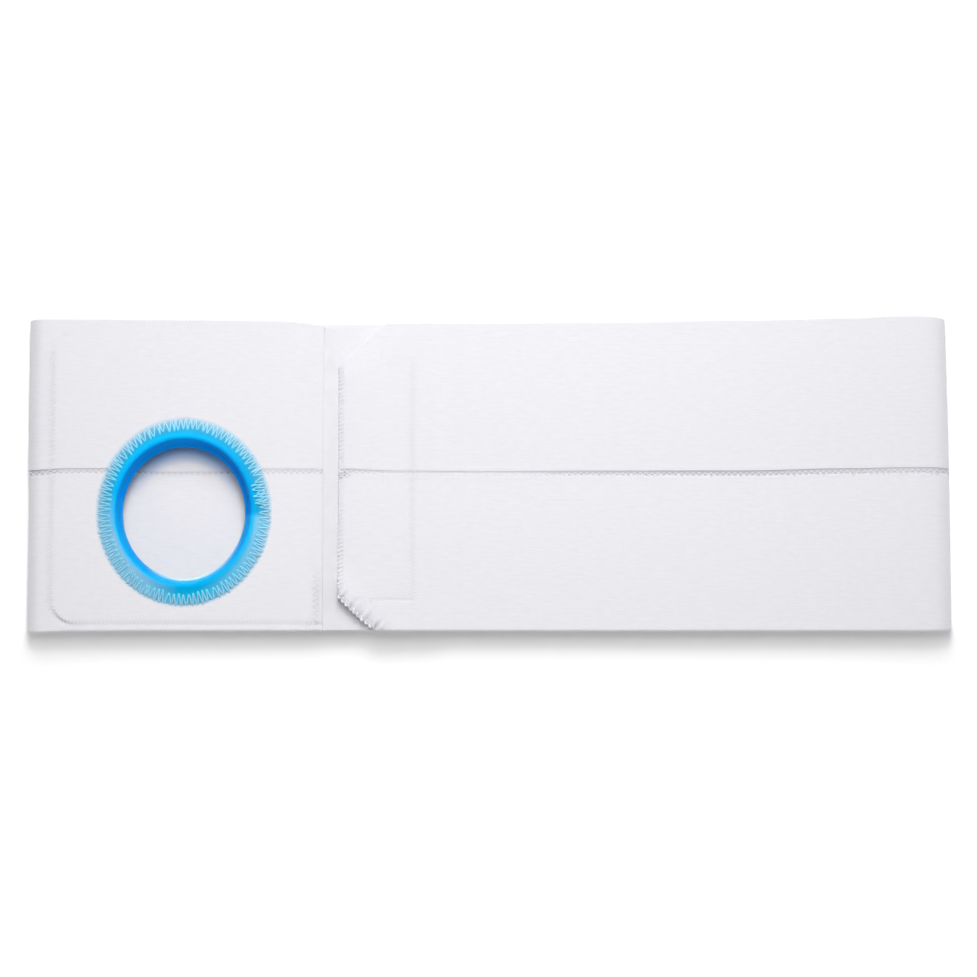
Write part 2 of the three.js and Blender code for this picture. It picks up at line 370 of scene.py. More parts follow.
# %% Loop cloth and hook tape
HOOK_PITCH = 1.4 * MM


def scaled(colour, share):
    """A colour made lighter or darker."""
    return tuple(share * c for c in colour)


def loop_cloth(name, colour):
    """A mat of fine loops: two noises, one at the size of a loop and one ten times as wide."""
    finish = Finish(name)
    place = finish.object_place()
    loops = finish.noise(place, 1600.0, 3.0)
    drift = finish.noise(place, 160.0, 2.0)
    tone = finish.times(loops, drift)
    return finish.shade({
        "Base Color": finish.mix(tone, scaled(colour, 0.9), scaled(colour, 1.08)),
        "Normal": finish.bump(0.6, 0.2 * MM, finish.step("ADD", loops, drift)),
        "Roughness": 0.95,
        "Specular IOR Level": 0.1,
        "Sheen Weight": 0.3,
    })


def hook_tape(name, colour):
    """Rows of hooks: the product of a sine along the patch and a sine across it."""
    finish = Finish(name)
    step, times, line = finish.step, finish.times, finish.line
    x, y, _ = finish.parts(finish.object_place())
    waves = [step("SINE", times(place, 2 * math.pi / HOOK_PITCH)) for place in (x, y)]
    hooks = times(*waves)
    # Painted shade: the tape is darker between the hooks.
    return finish.shade({
        "Base Color": finish.mix(line(hooks, 0.5, 0.5), scaled(colour, 0.85), colour),
        "Normal": finish.bump(0.8, 0.3 * MM, hooks),
        "Roughness": 0.6,
    })


panel_cloth = loop_cloth("loop_panel", (0.85, 0.84, 0.88))
patch_tape = hook_tape("hook_tape", (0.7, 0.7, 0.73))
print("cloth finishes:", panel_cloth.name, patch_tape.name)

# %% [markdown]
# ## Thread and ring plastic
# Sewing thread is plied, so its surface has a fine slanted twist. The tubes below carry a UV map along and
# around the thread, and one slanted wave of it is the twist, painted a little darker between the strands
# as shade. The ring is smooth blue plastic, deep where it is thick and pale where its flange thins out,
# so its colour follows the way round its section, which is the ring's own UV map. It isn't the same all
# round: two stretches of the flange get painted reflections, the lower part of the inner wall is painted
# lit, with a painted highlight on its lip, and the inner wall above is painted in shade, deepest at the
# upper right. One colour ramp for each stretch, faded into the others, gives that. Some light also
# spreads inside the plastic.

# %% Thread and ring plastic
STRAND_TURNS = (90.0, 2.0)
# Painted shade: how dark the thread is between its strands.
STRAND_SHADE = 0.93
OUTER_COLOUR_REACH = (38.8 * MM, 42.8 * MM)
RING_WAYS = (0.0, 0.1, 0.18, 0.24, 0.29, 0.34, 0.4, 0.47, 0.53, 0.6, 0.7, 0.76, 0.84, 0.94)
# The ring's colour round its section, with its inner wall and lip in painted shade.
UPPER_TINTS = [
    (0.1, 0.4, 0.6), (0.36, 0.56, 0.7), (0.27, 0.53, 0.7), (0.09, 0.43, 0.7), (0.03, 0.41, 0.72),
    (0.012, 0.44, 0.82), (0.004, 0.51, 0.97), (0.001, 0.48, 0.99), (0.001, 0.4, 0.98),
    (0.001, 0.34, 0.97), (0.001, 0.3, 0.92), (0.002, 0.27, 0.84), (0.01, 0.28, 0.8),
    (0.05, 0.35, 0.7),
]
# Deeper painted shade on the land and inner wall, for the upper right.
UPPER_RIGHT_SHADE_TINTS = [
    (0.012, 0.41, 0.77), (0.004, 0.42, 0.81), (0.001, 0.35, 0.79), (0.001, 0.27, 0.72),
    (0.001, 0.2, 0.69), (0.001, 0.23, 0.79),
]
# Painted light on the lower inner wall, and a painted highlight on its lip.
LIT_LOWER_TINTS = [
    (0.1, 0.4, 0.6), (0.26, 0.67, 0.92), (0.1, 0.6, 0.92), (0.03, 0.61, 1.0), (0.012, 0.57, 0.98),
    (0.006, 0.52, 0.94), (0.001, 0.52, 0.97), (0.001, 0.5, 0.98), (0.001, 0.48, 0.97),
    (0.002, 0.45, 0.93), (0.06, 0.48, 0.86), (0.55, 0.86, 0.97), (0.85, 0.97, 1.0),
    (0.3, 0.6, 0.85),
]
# Painted reflections on the flange and land, for the lower left.
PAINTED_REFLECTION_TINTS = [
    (0.1, 0.4, 0.6), (0.36, 0.72, 0.97), (0.27, 0.7, 0.98), (0.36, 0.7, 1.0), (0.38, 0.7, 1.0),
    (0.37, 0.7, 1.0), (0.31, 0.68, 1.0), (0.11, 0.58, 0.99), (0.004, 0.48, 0.97),
    (0.002, 0.42, 0.92), (0.006, 0.36, 0.86), (0.04, 0.34, 0.76), (0.2, 0.5, 0.82),
    (0.3, 0.6, 0.85),
]
# Where the right painted reflection differs from the left one.
RIGHT_REFLECTION_TINTS = [
    (0.31, 0.69, 1.0), (0.32, 0.69, 1.0), (0.3, 0.69, 0.99), (0.1, 0.62, 0.99), (0.02, 0.54, 0.98),
]
RING_TINTS = {
    "upper": UPPER_TINTS,
    "shaded_upper_right": UPPER_TINTS[:5] + UPPER_RIGHT_SHADE_TINTS + UPPER_TINTS[11:],
    "lower": LIT_LOWER_TINTS,
    "reflection_left": PAINTED_REFLECTION_TINTS,
    "reflection_right": PAINTED_REFLECTION_TINTS[:3] + RIGHT_REFLECTION_TINTS + PAINTED_REFLECTION_TINTS[8:],
}


def plied_thread(name, colour, outer_colour=None):
    """Slanted strands: a sine of the place along the thread plus the place around it.

    A thread with an outer colour fades to it with the distance from the ring's middle.
    """
    finish = Finish(name)
    step, times, line = finish.step, finish.times, finish.line
    along, around, _ = finish.parts(finish.uv_place())
    slant = step("ADD", times(along, STRAND_TURNS[0]), times(around, STRAND_TURNS[1]))
    strand = line(step("SINE", times(slant, 2 * math.pi)), 0.5, 0.5)
    # Painted shade between the strands.
    thread_colour = finish.mix(strand, scaled(colour, STRAND_SHADE), colour)
    if outer_colour:
        radius = ring_polar(finish)[0]
        thread_colour = finish.mix(finish.ramp(radius, *OUTER_COLOUR_REACH), thread_colour, outer_colour)
    return finish.shade({
        "Base Color": thread_colour,
        "Normal": finish.bump(0.4, 0.05 * MM, strand),
        "Roughness": 0.55,
        "Specular IOR Level": 0.3,
        "Sheen Weight": 0.15,
    })


def ring_plastic(name):
    """Colour by the way round the ring's section, one ramp for each stretch, with painted light and shade.

    The upper right stretch, in deeper painted shade, is where a sum of cosine and sine is large.
    The lower one, painted lit with a painted highlight on its lip, fades in with the sine. The left
    stretch of painted reflection swells and fades with the sine and the cosine. The right one starts
    at once, at the ring's joint, and fades with the cosine.
    """
    finish = Finish(name)
    step, times, line, share = finish.step, finish.times, finish.line, finish.share
    flow = finish.noise(finish.object_place(), 220.0, 2.0)
    _, way, _ = finish.parts(finish.uv_place())
    way = line(flow, 0.03, step("SUBTRACT", way, 0.015))
    _, cosine, sine, _ = ring_polar(finish)

    # Shares where painted shade, painted light and painted reflections fade in.
    stretches = {
        "shaded_upper_right": share(cosine, 1.9, line(sine, 1.1, -1.2)),
        "lower": share(sine, -2.4, -0.8),
        "reflection_left": times(share(sine, -1.67, 0.42), share(cosine, -1.8, -0.12)),
        "reflection_right": times(share(sine, -14.0, -0.1), share(cosine, 1.1, -0.25)),
    }
    tints = {}
    for stretch, colours in RING_TINTS.items():
        ramp = finish.add("ValToRGB", {"Fac": way})
        ramp.color_ramp.elements.remove(ramp.color_ramp.elements[0])
        ramp.color_ramp.elements[0].position = RING_WAYS[0]
        for place in RING_WAYS[1:]:
            ramp.color_ramp.elements.new(place)
        for element, tint in zip(ramp.color_ramp.elements, colours):
            element.color = (*tint, 1)
        tints[stretch] = ramp.outputs["Color"]
    ring_colour = tints["upper"]
    for stretch, factor in stretches.items():
        ring_colour = finish.mix(factor, ring_colour, tints[stretch])
    return finish.shade({
        "Base Color": ring_colour,
        "Normal": finish.bump(0.05, 0.2 * MM, flow),
        "Roughness": 0.35,
        "Specular IOR Level": 0.025,
        "Subsurface Weight": 0.3,
        "Subsurface Radius": (0.1, 0.6, 1.0),
        "Subsurface Scale": 4 * MM,
    })


white_thread = plied_thread("white_thread", (0.85, 0.845, 0.88))
blue_thread = plied_thread("pale_blue_thread", (0.22, 0.78, 1.0), (0.44, 0.79, 1.0))
blue_plastic = ring_plastic("ring_plastic")
print("thread and plastic:", white_thread.name, blue_thread.name, blue_plastic.name)

# %% [markdown]
# ## Surfaces from grids
# A sheet of cloth is two grids of points, one for each face, with a wall wherever the cloth ends, at its
# edges or round a hole. A closed tube or ring is one grid that wraps round. These helpers turn such grids
# into meshes in one go: the faces are worked out as whole index arrays. A smooth step and a bell curve
# shape most of what follows.

# %% Surfaces from grids
def put_mesh(name, points, faces, uvs, material, shade=None):
    """A mesh at the origin from points, blocks of faces, a UV and maybe a painted shade for each point."""
    mesh = bpy.data.meshes.new(name)
    mesh.from_pydata(points.reshape(-1, 3), [], [tuple(f) for block in faces for f in block.tolist()])
    corners = np.empty(len(mesh.loops), dtype=np.int32)
    mesh.loops.foreach_get("vertex_index", corners)
    layer = mesh.uv_layers.new(name="surface_place")
    layer.data.foreach_set("uv", uvs.reshape(-1, 2)[corners].astype(np.float32).ravel())
    mesh.polygons.foreach_set("use_smooth", np.full(len(mesh.polygons), True))
    if shade is not None:
        # The painted shade of each point, as a point attribute.
        layer = mesh.attributes.new("shade", "FLOAT", "POINT")
        layer.data.foreach_set("value", shade.astype(np.float32).ravel())
    mesh.materials.append(material)
    mesh.update()
    piece = bpy.data.objects.new(name, mesh)
    bpy.context.scene.collection.objects.link(piece)
    return piece


def sheet_faces(kept):
    """Faces of a sheet: its outer grid, its inner grid, and a wall wherever kept cells meet none.

    kept says for each cell of the grid whether there is cloth. Outer points come first, then inner ones.
    """
    stations, rows = kept.shape[0] + 1, kept.shape[1] + 1
    to_inner = stations * rows
    outer = np.arange(to_inner).reshape(stations, rows)
    cell = np.stack([outer[:-1, :-1], outer[:-1, 1:], outer[1:, 1:], outer[1:, :-1]], -1)[kept]
    edged = np.pad(kept, 1)
    walls = []
    for before, after, first, second, flip in (
        (edged[:-1, 1:-1], edged[1:, 1:-1], outer[:, :-1], outer[:, 1:], False),
        (edged[1:-1, :-1], edged[1:-1, 1:], outer[:-1, :], outer[1:, :], True),
    ):
        for cells, turned in ((after & ~before, flip), (before & ~after, not flip)):
            a, b = (second[cells], first[cells]) if turned else (first[cells], second[cells])
            walls.append(np.stack([b, a, a + to_inner, b + to_inner], -1))
    return [cell, cell[:, ::-1] + to_inner, *walls]


def wrapped_faces(stations, sides, close_ends):
    """Faces of a tube: a grid whose sides wrap round, and whose stations wrap round too or end in caps."""
    index = np.arange(stations * sides).reshape(stations, sides)
    if close_ends:
        here, there = index[:-1], index[1:]
    else:
        here, there = index, np.roll(index, -1, 0)
    body = np.stack([here, np.roll(here, -1, 1), np.roll(there, -1, 1), there], -1).reshape(-1, 4)
    caps = [index[:1, ::-1], index[-1:]] if close_ends else []
    return [body, *caps]


def lengths_along(path):
    """How far each point of a path lies along it: the sum of the steps before it."""
    return np.concatenate([[0], np.cumsum(np.linalg.norm(np.diff(path, axis=0), axis=1))])


def unit(vectors):
    """Vectors made one long."""
    return vectors / (np.linalg.norm(vectors, axis=1, keepdims=True) + 1e-12)


def smooth_step(share):
    """A step from 0 to 1 with level ends."""
    share = np.clip(share, 0, 1)
    return share**2 * (3 - 2 * share)


def bell(distance, width):
    """A bell curve: one at no distance, and a third at one width."""
    return np.exp(-((distance / width) ** 2))


print("faces of a sheet of one cell:", sum(len(block) for block in sheet_faces(np.array([[True]]))))

# %% [markdown]
# ## Where the layers lie
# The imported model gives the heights: the back layer lies on the floor, the panel hangs a few millimetres
# above it, the front layer lies on the panel, and the tab lies on the hook patch. The tables say how the
# edges wander, so that this belt has nearly the same outline as its solids.

# %% Where the layers lie
BAND_THICKNESS = 1.6 * MM
PIECE_GAP = 0.3 * MM
SEAM_GAP = 0.6 * MM
FOLD_REACH = 12 * MM
BELT_WIDTH = 152.4 * MM
BANDS_END_X = -80.6 * MM
TAB_END_X = -73.5 * MM
TAB_STEP_X = (-34 * MM, -14 * MM)
TAB_CORNERS = {
    "top": {"run": 23.5 * MM, "rise": 20 * MM, "bulge": 0.0},
    "bottom": {"run": 18.5 * MM, "rise": 16.5 * MM, "bulge": 1.1 * MM},
}
BACK_EDGES = {"top_inset": -0.5, "seam": 2.6, "bottom_inset": 1.4, "groove": 0.4, "width": 1.5}
EDGE_COLUMNS = ["x", "top_inset", "seam", "bottom_inset", "groove", "width"]
FRONT_EDGES = np.array([
    (-225, -2.0, 2.8, -0.5, 0.95, 2.5),
    (-205, -1.9, 3.6, 0.4, 0.6, 2.1),
    (-155, -1.65, 3.8, 0.6, 0.55, 2.1),
    (-100, -1.0, 3.4, 0.6, 0.42, 2.2),
    (-72, 2.05, 3.35, 0.8, 0.6, 1.9),
    (-45, 0.25, 2.2, 0.6, 0.45, 1.2),
    (5, 0.03, 2.2, 0.6, 0.5, 1.2),
    (50, -0.2, 2.4, 0.6, 0.75, 1.9),
    (125, -1.3, 2.5, 0.6, 0.9, 2.3),
    (177, -2.35, 3.6, 0.6, 0.75, 2.6),
    (205, -3.4, 4.1, 0.6, 0.6, 2.7),
    (225, -3.2, 4.2, 0.6, 0.8, 2.9),
])

panel_low, panel_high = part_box("backing_panel")
hook_low, hook_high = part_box("hook_patch")
BELT_HALF = cad_high.x
TURN_X = BELT_HALF - FOLD_REACH
BACK_Z = BAND_THICKNESS / 2
FRONT_Z = panel_high.z + PIECE_GAP + BAND_THICKNESS / 2
TAB_Z = hook_high.z + PIECE_GAP + BAND_THICKNESS / 2
RING_SEAT_Z = FRONT_Z + BAND_THICKNESS / 2 + PIECE_GAP
CLOTH_HOLE_RADIUS = 36 * MM
print("layer heights in mm:", [round(z / MM, 2) for z in (BACK_Z, FRONT_Z, TAB_Z, RING_SEAT_Z)])

# %% [markdown]
# ## The bands' middle line
# Both bands follow one line in the XZ plane: from the cut end on the panel, left round the fold, along the
# back, round the right fold, back along the front, up a soft step and out along the tab. Its points lie
# close together on the front, where stitches dent the cloth, and wider apart on the back.

# %% The bands' middle line
FRONT_STEP = 0.6 * MM
BACK_STEP = 3 * MM
FOLD_STEPS = 30


def straight(x0, x1, z, spacing):
    """Points on a level line, without its last point."""
    count = max(2, round(abs(x1 - x0) / spacing))
    x = np.linspace(x0, x1, count, endpoint=False)
    return np.stack([x, np.full(count, z)], -1)


def half_ellipse(x, start_angle):
    """Points half way round an ellipse whose ends are the front and back layers, without the last point."""
    angle = start_angle + np.linspace(0, math.pi, FOLD_STEPS, endpoint=False)
    reach, rise = FOLD_REACH - BAND_THICKNESS / 2, (FRONT_Z - BACK_Z) / 2
    return np.stack([x + reach * np.cos(angle), (FRONT_Z + BACK_Z) / 2 + rise * np.sin(angle)], -1)


def soft_step():
    """A cubic curve with level ends from the front layer up to the tab, without its last point."""
    end, start = TAB_STEP_X
    share = np.linspace(0, 1, round((start - end) / FRONT_STEP), endpoint=False)
    x = start * (1 - share) ** 3 + 1.5 * (start + end) * share * (1 - share) + end * share**3
    return np.stack([x, FRONT_Z + (TAB_Z - FRONT_Z) * smooth_step(share)], -1)


runs = [
    straight(BANDS_END_X, -TURN_X, FRONT_Z, FRONT_STEP),
    half_ellipse(-TURN_X, math.pi / 2),
    straight(-TURN_X, TURN_X, BACK_Z, BACK_STEP),
    half_ellipse(TURN_X, -math.pi / 2),
    straight(TURN_X, TAB_STEP_X[1], FRONT_Z, FRONT_STEP),
    soft_step(),
    straight(TAB_STEP_X[0], TAB_END_X, TAB_Z, FRONT_STEP),
    np.array([[TAB_END_X, TAB_Z]]),
]
LINE = np.concatenate(runs)
LINE_X, LINE_Z = LINE[:, 0], LINE[:, 1]
tangent = unit(np.gradient(LINE, axis=0))
OUT_X, OUT_Z = tangent[:, 1], -tangent[:, 0]
LINE_S = lengths_along(LINE)
run_of = np.repeat(np.arange(len(runs)), [len(run) for run in runs])
ON_RING_SIDE = run_of == 0
ON_TAB = run_of >= 5
print("band length in mm:", round(LINE_S[-1] / MM, 1), "stations:", len(LINE))

# %% [markdown]
# ## Edges, seam and curl
# The front layer's edges come from the table, with a smooth step from row to row. In a fold they pass over
# into the back layer's straight edges. The tab's corners are cut off at a slant. Cloth near the lower cut
# curls up, puckers and rolls over, and the tab's end and upper cut bend down onto the panel. Sculpting
# could do that too, but with a formula the threads can follow the same lift.

# %% Edges, seam and curl
def eased(column, x):
    """A column of the front edges' table at x: between two rows the value follows a smooth step."""
    places, values = FRONT_EDGES[:, 0] * MM, FRONT_EDGES[:, EDGE_COLUMNS.index(column)] * MM
    row = np.clip(np.searchsorted(places, x) - 1, 0, len(places) - 2)
    share = (x - places[row]) / (places[row + 1] - places[row])
    return values[row] + (values[row + 1] - values[row]) * smooth_step(share)


def across_belt(column):
    """A column of the tables along the middle line: its back or front value, or one between in a fold."""
    share = np.clip((LINE_Z - BACK_Z) / (FRONT_Z - BACK_Z), 0, 1)
    back = BACK_EDGES[column] * MM
    return back + (eased(column, LINE_X) - back) * share


def slanted_cut(side):
    """What the tab's cut takes off at each station: it grows along its run, less a parabola's bulge."""
    corner = TAB_CORNERS[side]
    share = np.clip(1 - (LINE_X - TAB_END_X) / corner["run"], 0, 1)
    return np.where(ON_TAB, corner["rise"] * share - 4 * corner["bulge"] * share * (1 - share), 0)


SEAM = across_belt("seam")
GROOVE = across_belt("groove") / MM
GROOVE_WIDTH = across_belt("width")
EDGE = {
    "top": BELT_WIDTH / 2 - across_belt("top_inset") - slanted_cut("top"),
    "bottom": -BELT_WIDTH / 2 + across_belt("bottom_inset") + slanted_cut("bottom"),
}


def inside_cut(side, x, y, edge):
    """Distance of tab points from the slanted cut's line, which is carried on past its inner end."""
    corner = TAB_CORNERS[side]
    past = np.clip(x - TAB_END_X - corner["run"], 0, None)
    cut_length = math.hypot(corner["run"], corner["rise"])
    return (np.abs(edge - y) * corner["run"] + past * corner["rise"]) / cut_length


CURL = 2.1 * MM
CURL_REACH = 16 * MM
PUCKER = 0.7 * MM
PUCKER_PITCHES = (5.2 * MM, 3.1 * MM)
PUCKER_REACH = 5 * MM
CUT_ROLL = 0.6 * MM
CUT_ROLL_REACH = 3.5 * MM
END_BEND = 0.75 * MM
END_BEND_REACH = 9 * MM
END_BEND_FADE = 14 * MM
CUT_BEND = 0.8 * MM
CUT_BEND_REACH = 12 * MM
CUT_BEND_FADE = 12 * MM


def curl_lift(x, y, edge):
    """Lift near the tab's lower cut: the square of how near a point lies to it, with puckers across it.

    It shrinks along the cut, from the tab's end to the long edge. Close to the cut the cloth rolls down.
    """
    run, rise = TAB_CORNERS["bottom"]["run"], TAB_CORNERS["bottom"]["rise"]
    inside = inside_cut("bottom", x, y, edge)
    near = np.clip(1 - inside / CURL_REACH, 0, 1)
    along = (x * run - y * rise) / math.hypot(run, rise)
    wide, narrow = (2 * math.pi * along / pitch for pitch in PUCKER_PITCHES)
    puckers = PUCKER * (np.sin(wide + 260 * inside) + 0.6 * np.sin(narrow)) * bell(inside, PUCKER_REACH)
    growth = 1 - 0.6 * smooth_step((x - TAB_END_X) / run)
    roll = CUT_ROLL * (1 - smooth_step(inside / CUT_ROLL_REACH))
    return CURL * growth * near**2 - roll + puckers * (x < 0)


def tab_lift(x, y, edges, lower):
    """Lift of tab points: the lower band's curl, less the bend of the tab's end or upper cut to the panel.

    Each bend is a smooth step over the last stretch. The end's fades out towards the lower corner, which
    stands up, and the upper cut's is half as deep near the belt's long edge.
    """
    held = smooth_step((y - EDGE["bottom"][-1]) / END_BEND_FADE)
    end_bend = END_BEND * held * (1 - smooth_step((x - TAB_END_X) / END_BEND_REACH))
    along_cut = smooth_step((x - TAB_END_X) / CUT_BEND_FADE - 1)
    from_cut = inside_cut("top", x, y, edges["top"])
    cut_bend = CUT_BEND * (1 - 0.5 * along_cut) * (1 - smooth_step(from_cut / CUT_BEND_REACH))
    return lower * curl_lift(x, y, edges["bottom"]) - np.maximum(end_bend, cut_bend)


print("front width in mm:", round(float(np.ptp([EDGE["top"].max(), EDGE["bottom"].min()])) / MM, 1))

# %% [markdown]
# ## Stitch lines
# Stitches pull the cloth down, so the bands need to know where the stitch lines run before they are made.
# The panel is sewn along a rounded rectangle and the hook patch along a plain one. How far a point lies
# from such an outline has a short formula, and each dent is a bell curve of that distance. The same curves,
# with other strengths and widths, paint a faint shade along the stitches, as the shadow in their dents.

# %% Stitch lines
PANEL_STITCH = {"low": (-213.9 * MM, -72.4 * MM), "high": (-60 * MM, 72.6 * MM), "corner": 12 * MM}
PANEL_STITCH_RIGHT = -84.1 * MM
HOOK_STITCH_RIGHT = -37.2 * MM
HOOK_STITCH_ROWS = (-60.6 * MM, 57.8 * MM)
HOOK_STITCH_LEFT = -66 * MM
PANEL_DENTS = {
    "line": (0.12 * MM, 1.6 * MM),
    "low_row": (0.22 * MM, 1.1 * MM),
    "corner": (0.9 * MM, 0.55 * MM),
    "column_end": (0.16 * MM, 1.9 * MM),
}
# Painted shade along the panel's stitches and in its crease: strength and width of each bell curve.
PANEL_PAINTED_SHADES = {
    "low_row": (0.16, 0.9 * MM),
    "left_side": (0.17, 0.9 * MM),
    "corner": (0.75, 0.8 * MM),
    "column_end": (0.14, 2 * MM),
}
PATCH_DENTS = {
    "column": (0.12 * MM, 1.6 * MM),
    "low_row": (0.18 * MM, 0.6 * MM),
    "high_row": (0.08 * MM, 0.6 * MM),
}
# Painted shade along the patch's stitch column and lower row.
PATCH_PAINTED_SHADES = {"column": (0.1, 1.2 * MM), "low_row": (0.12, 0.6 * MM)}
CORNER_PLACE = (-207.5 * MM, -68.6 * MM)
CORNER_REACH = {"dent": 5.5 * MM, "shade": 8 * MM}
LOW_ROW_PAINTED_SHADE_Y = -60 * MM
LEFT_SIDE = {"x": -205 * MM, "reach": 6 * MM, "y": 62 * MM}
LOW_END_Y = -42 * MM
LOW_END_REACH = 14 * MM


def outline_distance(outline, x, y):
    """Distance from points to a rounded rectangle's line: to its nearest corner arc or nearest side."""
    low, high = np.array(outline["low"]), np.array(outline["high"])
    middle, half = (low + high) / 2, (high - low) / 2 - outline["corner"]
    past_x, past_y = np.abs(x - middle[0]) - half[0], np.abs(y - middle[1]) - half[1]
    outside = np.hypot(np.maximum(past_x, 0), np.maximum(past_y, 0))
    inside = np.minimum(np.maximum(past_x, past_y), 0)
    return np.abs(outside + inside - outline["corner"])


def low_end(y):
    """A smooth step into the lower end of the stitch column beside the bands' cut end."""
    return smooth_step((LOW_END_Y - y) / LOW_END_REACH)


def mark(kind, distance):
    """A dent or a painted shade along stitches: its strength times a bell curve of the distance over its
    width.
    """
    strength, width = kind
    return strength * bell(distance, width)


def panel_marks(x, y):
    """Dent and painted shade along the panel's stitches: the sum of the marks, each where it lies.

    The lower row starts with a smooth step past its corner, and the crease fades out from the corner's place.
    """
    distance = outline_distance(PANEL_STITCH, x, y)
    from_column = x - PANEL_STITCH_RIGHT
    from_corner = np.hypot(x - CORNER_PLACE[0], y - CORNER_PLACE[1])
    past_corner = smooth_step((x - PANEL_STITCH["low"][0]) / PANEL_STITCH["corner"])
    left_side = smooth_step((LEFT_SIDE["x"] - x) / LEFT_SIDE["reach"]) * (np.abs(y) < LEFT_SIDE["y"])
    dent = (
        mark(PANEL_DENTS["line"], distance)
        + mark(PANEL_DENTS["low_row"], distance) * past_corner * (y < 0)
        + mark(PANEL_DENTS["corner"], distance) * bell(from_corner, CORNER_REACH["dent"])
        + mark(PANEL_DENTS["column_end"], from_column) * low_end(y)
    )
    # Painted shade in the stitch dents and the crease.
    shade = (
        mark(PANEL_PAINTED_SHADES["low_row"], distance) * past_corner * (y < LOW_ROW_PAINTED_SHADE_Y)
        + mark(PANEL_PAINTED_SHADES["left_side"], distance) * left_side
        + mark(PANEL_PAINTED_SHADES["corner"], distance) * bell(from_corner, CORNER_REACH["shade"])
        + mark(PANEL_PAINTED_SHADES["column_end"], from_column) * low_end(y)
    )
    return dent, shade


def patch_marks(x, y):
    """Dent and painted shade along the hook patch's right stitch column and its two stitch rows."""
    low, high = HOOK_STITCH_ROWS
    from_column = x - HOOK_STITCH_RIGHT
    in_column = (y > low) & (y < high)
    in_rows = (x > HOOK_STITCH_LEFT) & (x < HOOK_STITCH_RIGHT)
    rows = mark(PATCH_DENTS["low_row"], y - low) + mark(PATCH_DENTS["high_row"], y - high)
    dent = mark(PATCH_DENTS["column"], from_column) * in_column + rows * in_rows
    # Painted shade along the lower stitch row.
    painted_row_shade = mark(PATCH_PAINTED_SHADES["low_row"], y - low) * in_rows
    return dent, mark(PATCH_PAINTED_SHADES["column"], from_column) * in_column + painted_row_shade


print("stitch dent in mm:", PANEL_DENTS["line"][0] / MM)

# %% [markdown]
# ## Elastic bands
# A band is one strip of even thickness with soft edges, from its outer edge to the midline seam. A plane
# with a cloth modifier would fold by chance. Here the surface is a function of the place along the middle
# line and the place across the strip, so every dent and bend has its place. The cells inside the ring's
# hole are left out, and the points round the hole are drawn onto its oval, so that the cut is clean. Where
# the cloth is cut it thins out, as worn edges do. A painted shade for each point darkens creases, folds,
# the seam's groove, the cut end, the cloth by the tab's lower cut, the seam on the inner face and the
# stitch lines.

# %% Elastic bands
EDGE_SOFTNESS = 0.9 * MM
EDGE_BLUNTNESS = 0.35
TAB_END_SOFTNESS = 3.4 * MM
TAB_END_BLUNTNESS = 0.2
SEAM_PITCH = 2.9 * MM
SEAM_SLIT = 0.03 * MM
GROOVE_DEPTH = 0.3 * MM
GROOVE_RISE = 0.6 * MM
HEM_ROLL = 0.05 * MM
SEAM_SOFTNESS = 0.15 * MM
SEAM_BLUNTNESS = 0.8
CUT_END_SOFTNESS = 2.2 * MM
CUT_END_BLUNTNESS = 0.55
# Painted shade along the seam on the inner face.
PAINTED_INNER_SEAM_SHADE = 0.5
# Painted shade on the cloth by the tab's lower cut.
PAINTED_CUT_SHADE = 0.4
# Painted shade at the bands' cut end, upper and lower.
PAINTED_CUT_END_SHADE = (0.12, 0.24)
# Painted shade at the left and right folds.
PAINTED_FOLD_SHADE = {"left": 0.32, "right": 0.14}
# How far from the lower cut that painted shade reaches.
PAINTED_CUT_SHADE_REACH = 5 * MM
LOWER_FOLD_REACH = 0.95
FOLD_SHIFT_Y = np.array([-75, -60, -36, -6, 13, 38, 67, 77]) * MM
FOLD_SHIFT_LEFT = np.array([-0.6, -0.7, -0.7, -0.7, -0.7, -0.75, -0.65, -0.65]) * MM
FOLD_SHIFT_RIGHT = np.array([1.35, 1.4, 1.3, 1.25, 1.2, 0.7, 0.2, 0.1]) * MM
BAND_ROWS = {"top": {"width": 73.0, "patch_row": 16.7}, "bottom": {"width": 79.0, "patch_row": 15.0}}
EDGE_ROWS = {
    "top": [0, 0.1, 0.25, 0.45, 0.7, 1.0, 1.5, 2.2, 3.0, 3.9, 5.0, 6.4, 8.0, 10.0],
    "bottom": [0, 0.1, 0.3, 0.6, 1.0, 1.5, 2.1, 2.7, 3.3, 4.0, 4.7, 5.4, 6.1, 6.8, 7.6, 8.5, 9.6, 11.2],
}
SEAM_ROWS = {
    "top": [0, 0.1, 0.25, 0.45, 0.8, 1.3, 1.8, 2.4, 3.2, 4.6],
    "bottom": [0, 0.1, 0.3, 0.6, 0.9, 1.2, 1.5, 1.75, 2.0, 2.25, 2.5, 2.75, 3.0, 3.3, 3.8, 4.8],
}
PATCH_ROWS = [-1.2, -0.6, -0.3, 0, 0.3, 0.6, 1.2]


def across_shares(side, width, patch_row):
    """Shares of a band's width from edge to seam: close together near both and at the patch's stitches."""
    seam_rows = width - np.array(SEAM_ROWS[side])
    plain = np.linspace(EDGE_ROWS[side][-1], seam_rows[-1], 9)[1:-1]
    plain = plain[np.abs(plain - patch_row) > 2]
    rows = np.concatenate([EDGE_ROWS[side], plain, patch_row + np.array(PATCH_ROWS), seam_rows])
    return np.unique(np.round(rows, 3)) / width


def fold_shift(x, y):
    """How much further a fold reaches than its solid: the table's value at y, growing along the fold."""
    share = np.clip((np.abs(x) - TURN_X) / FOLD_REACH, 0, 1)
    left = np.interp(y, FOLD_SHIFT_Y, FOLD_SHIFT_LEFT)
    right = np.interp(y, FOLD_SHIFT_Y, FOLD_SHIFT_RIGHT)
    return share * np.where(x > 0, right, left)


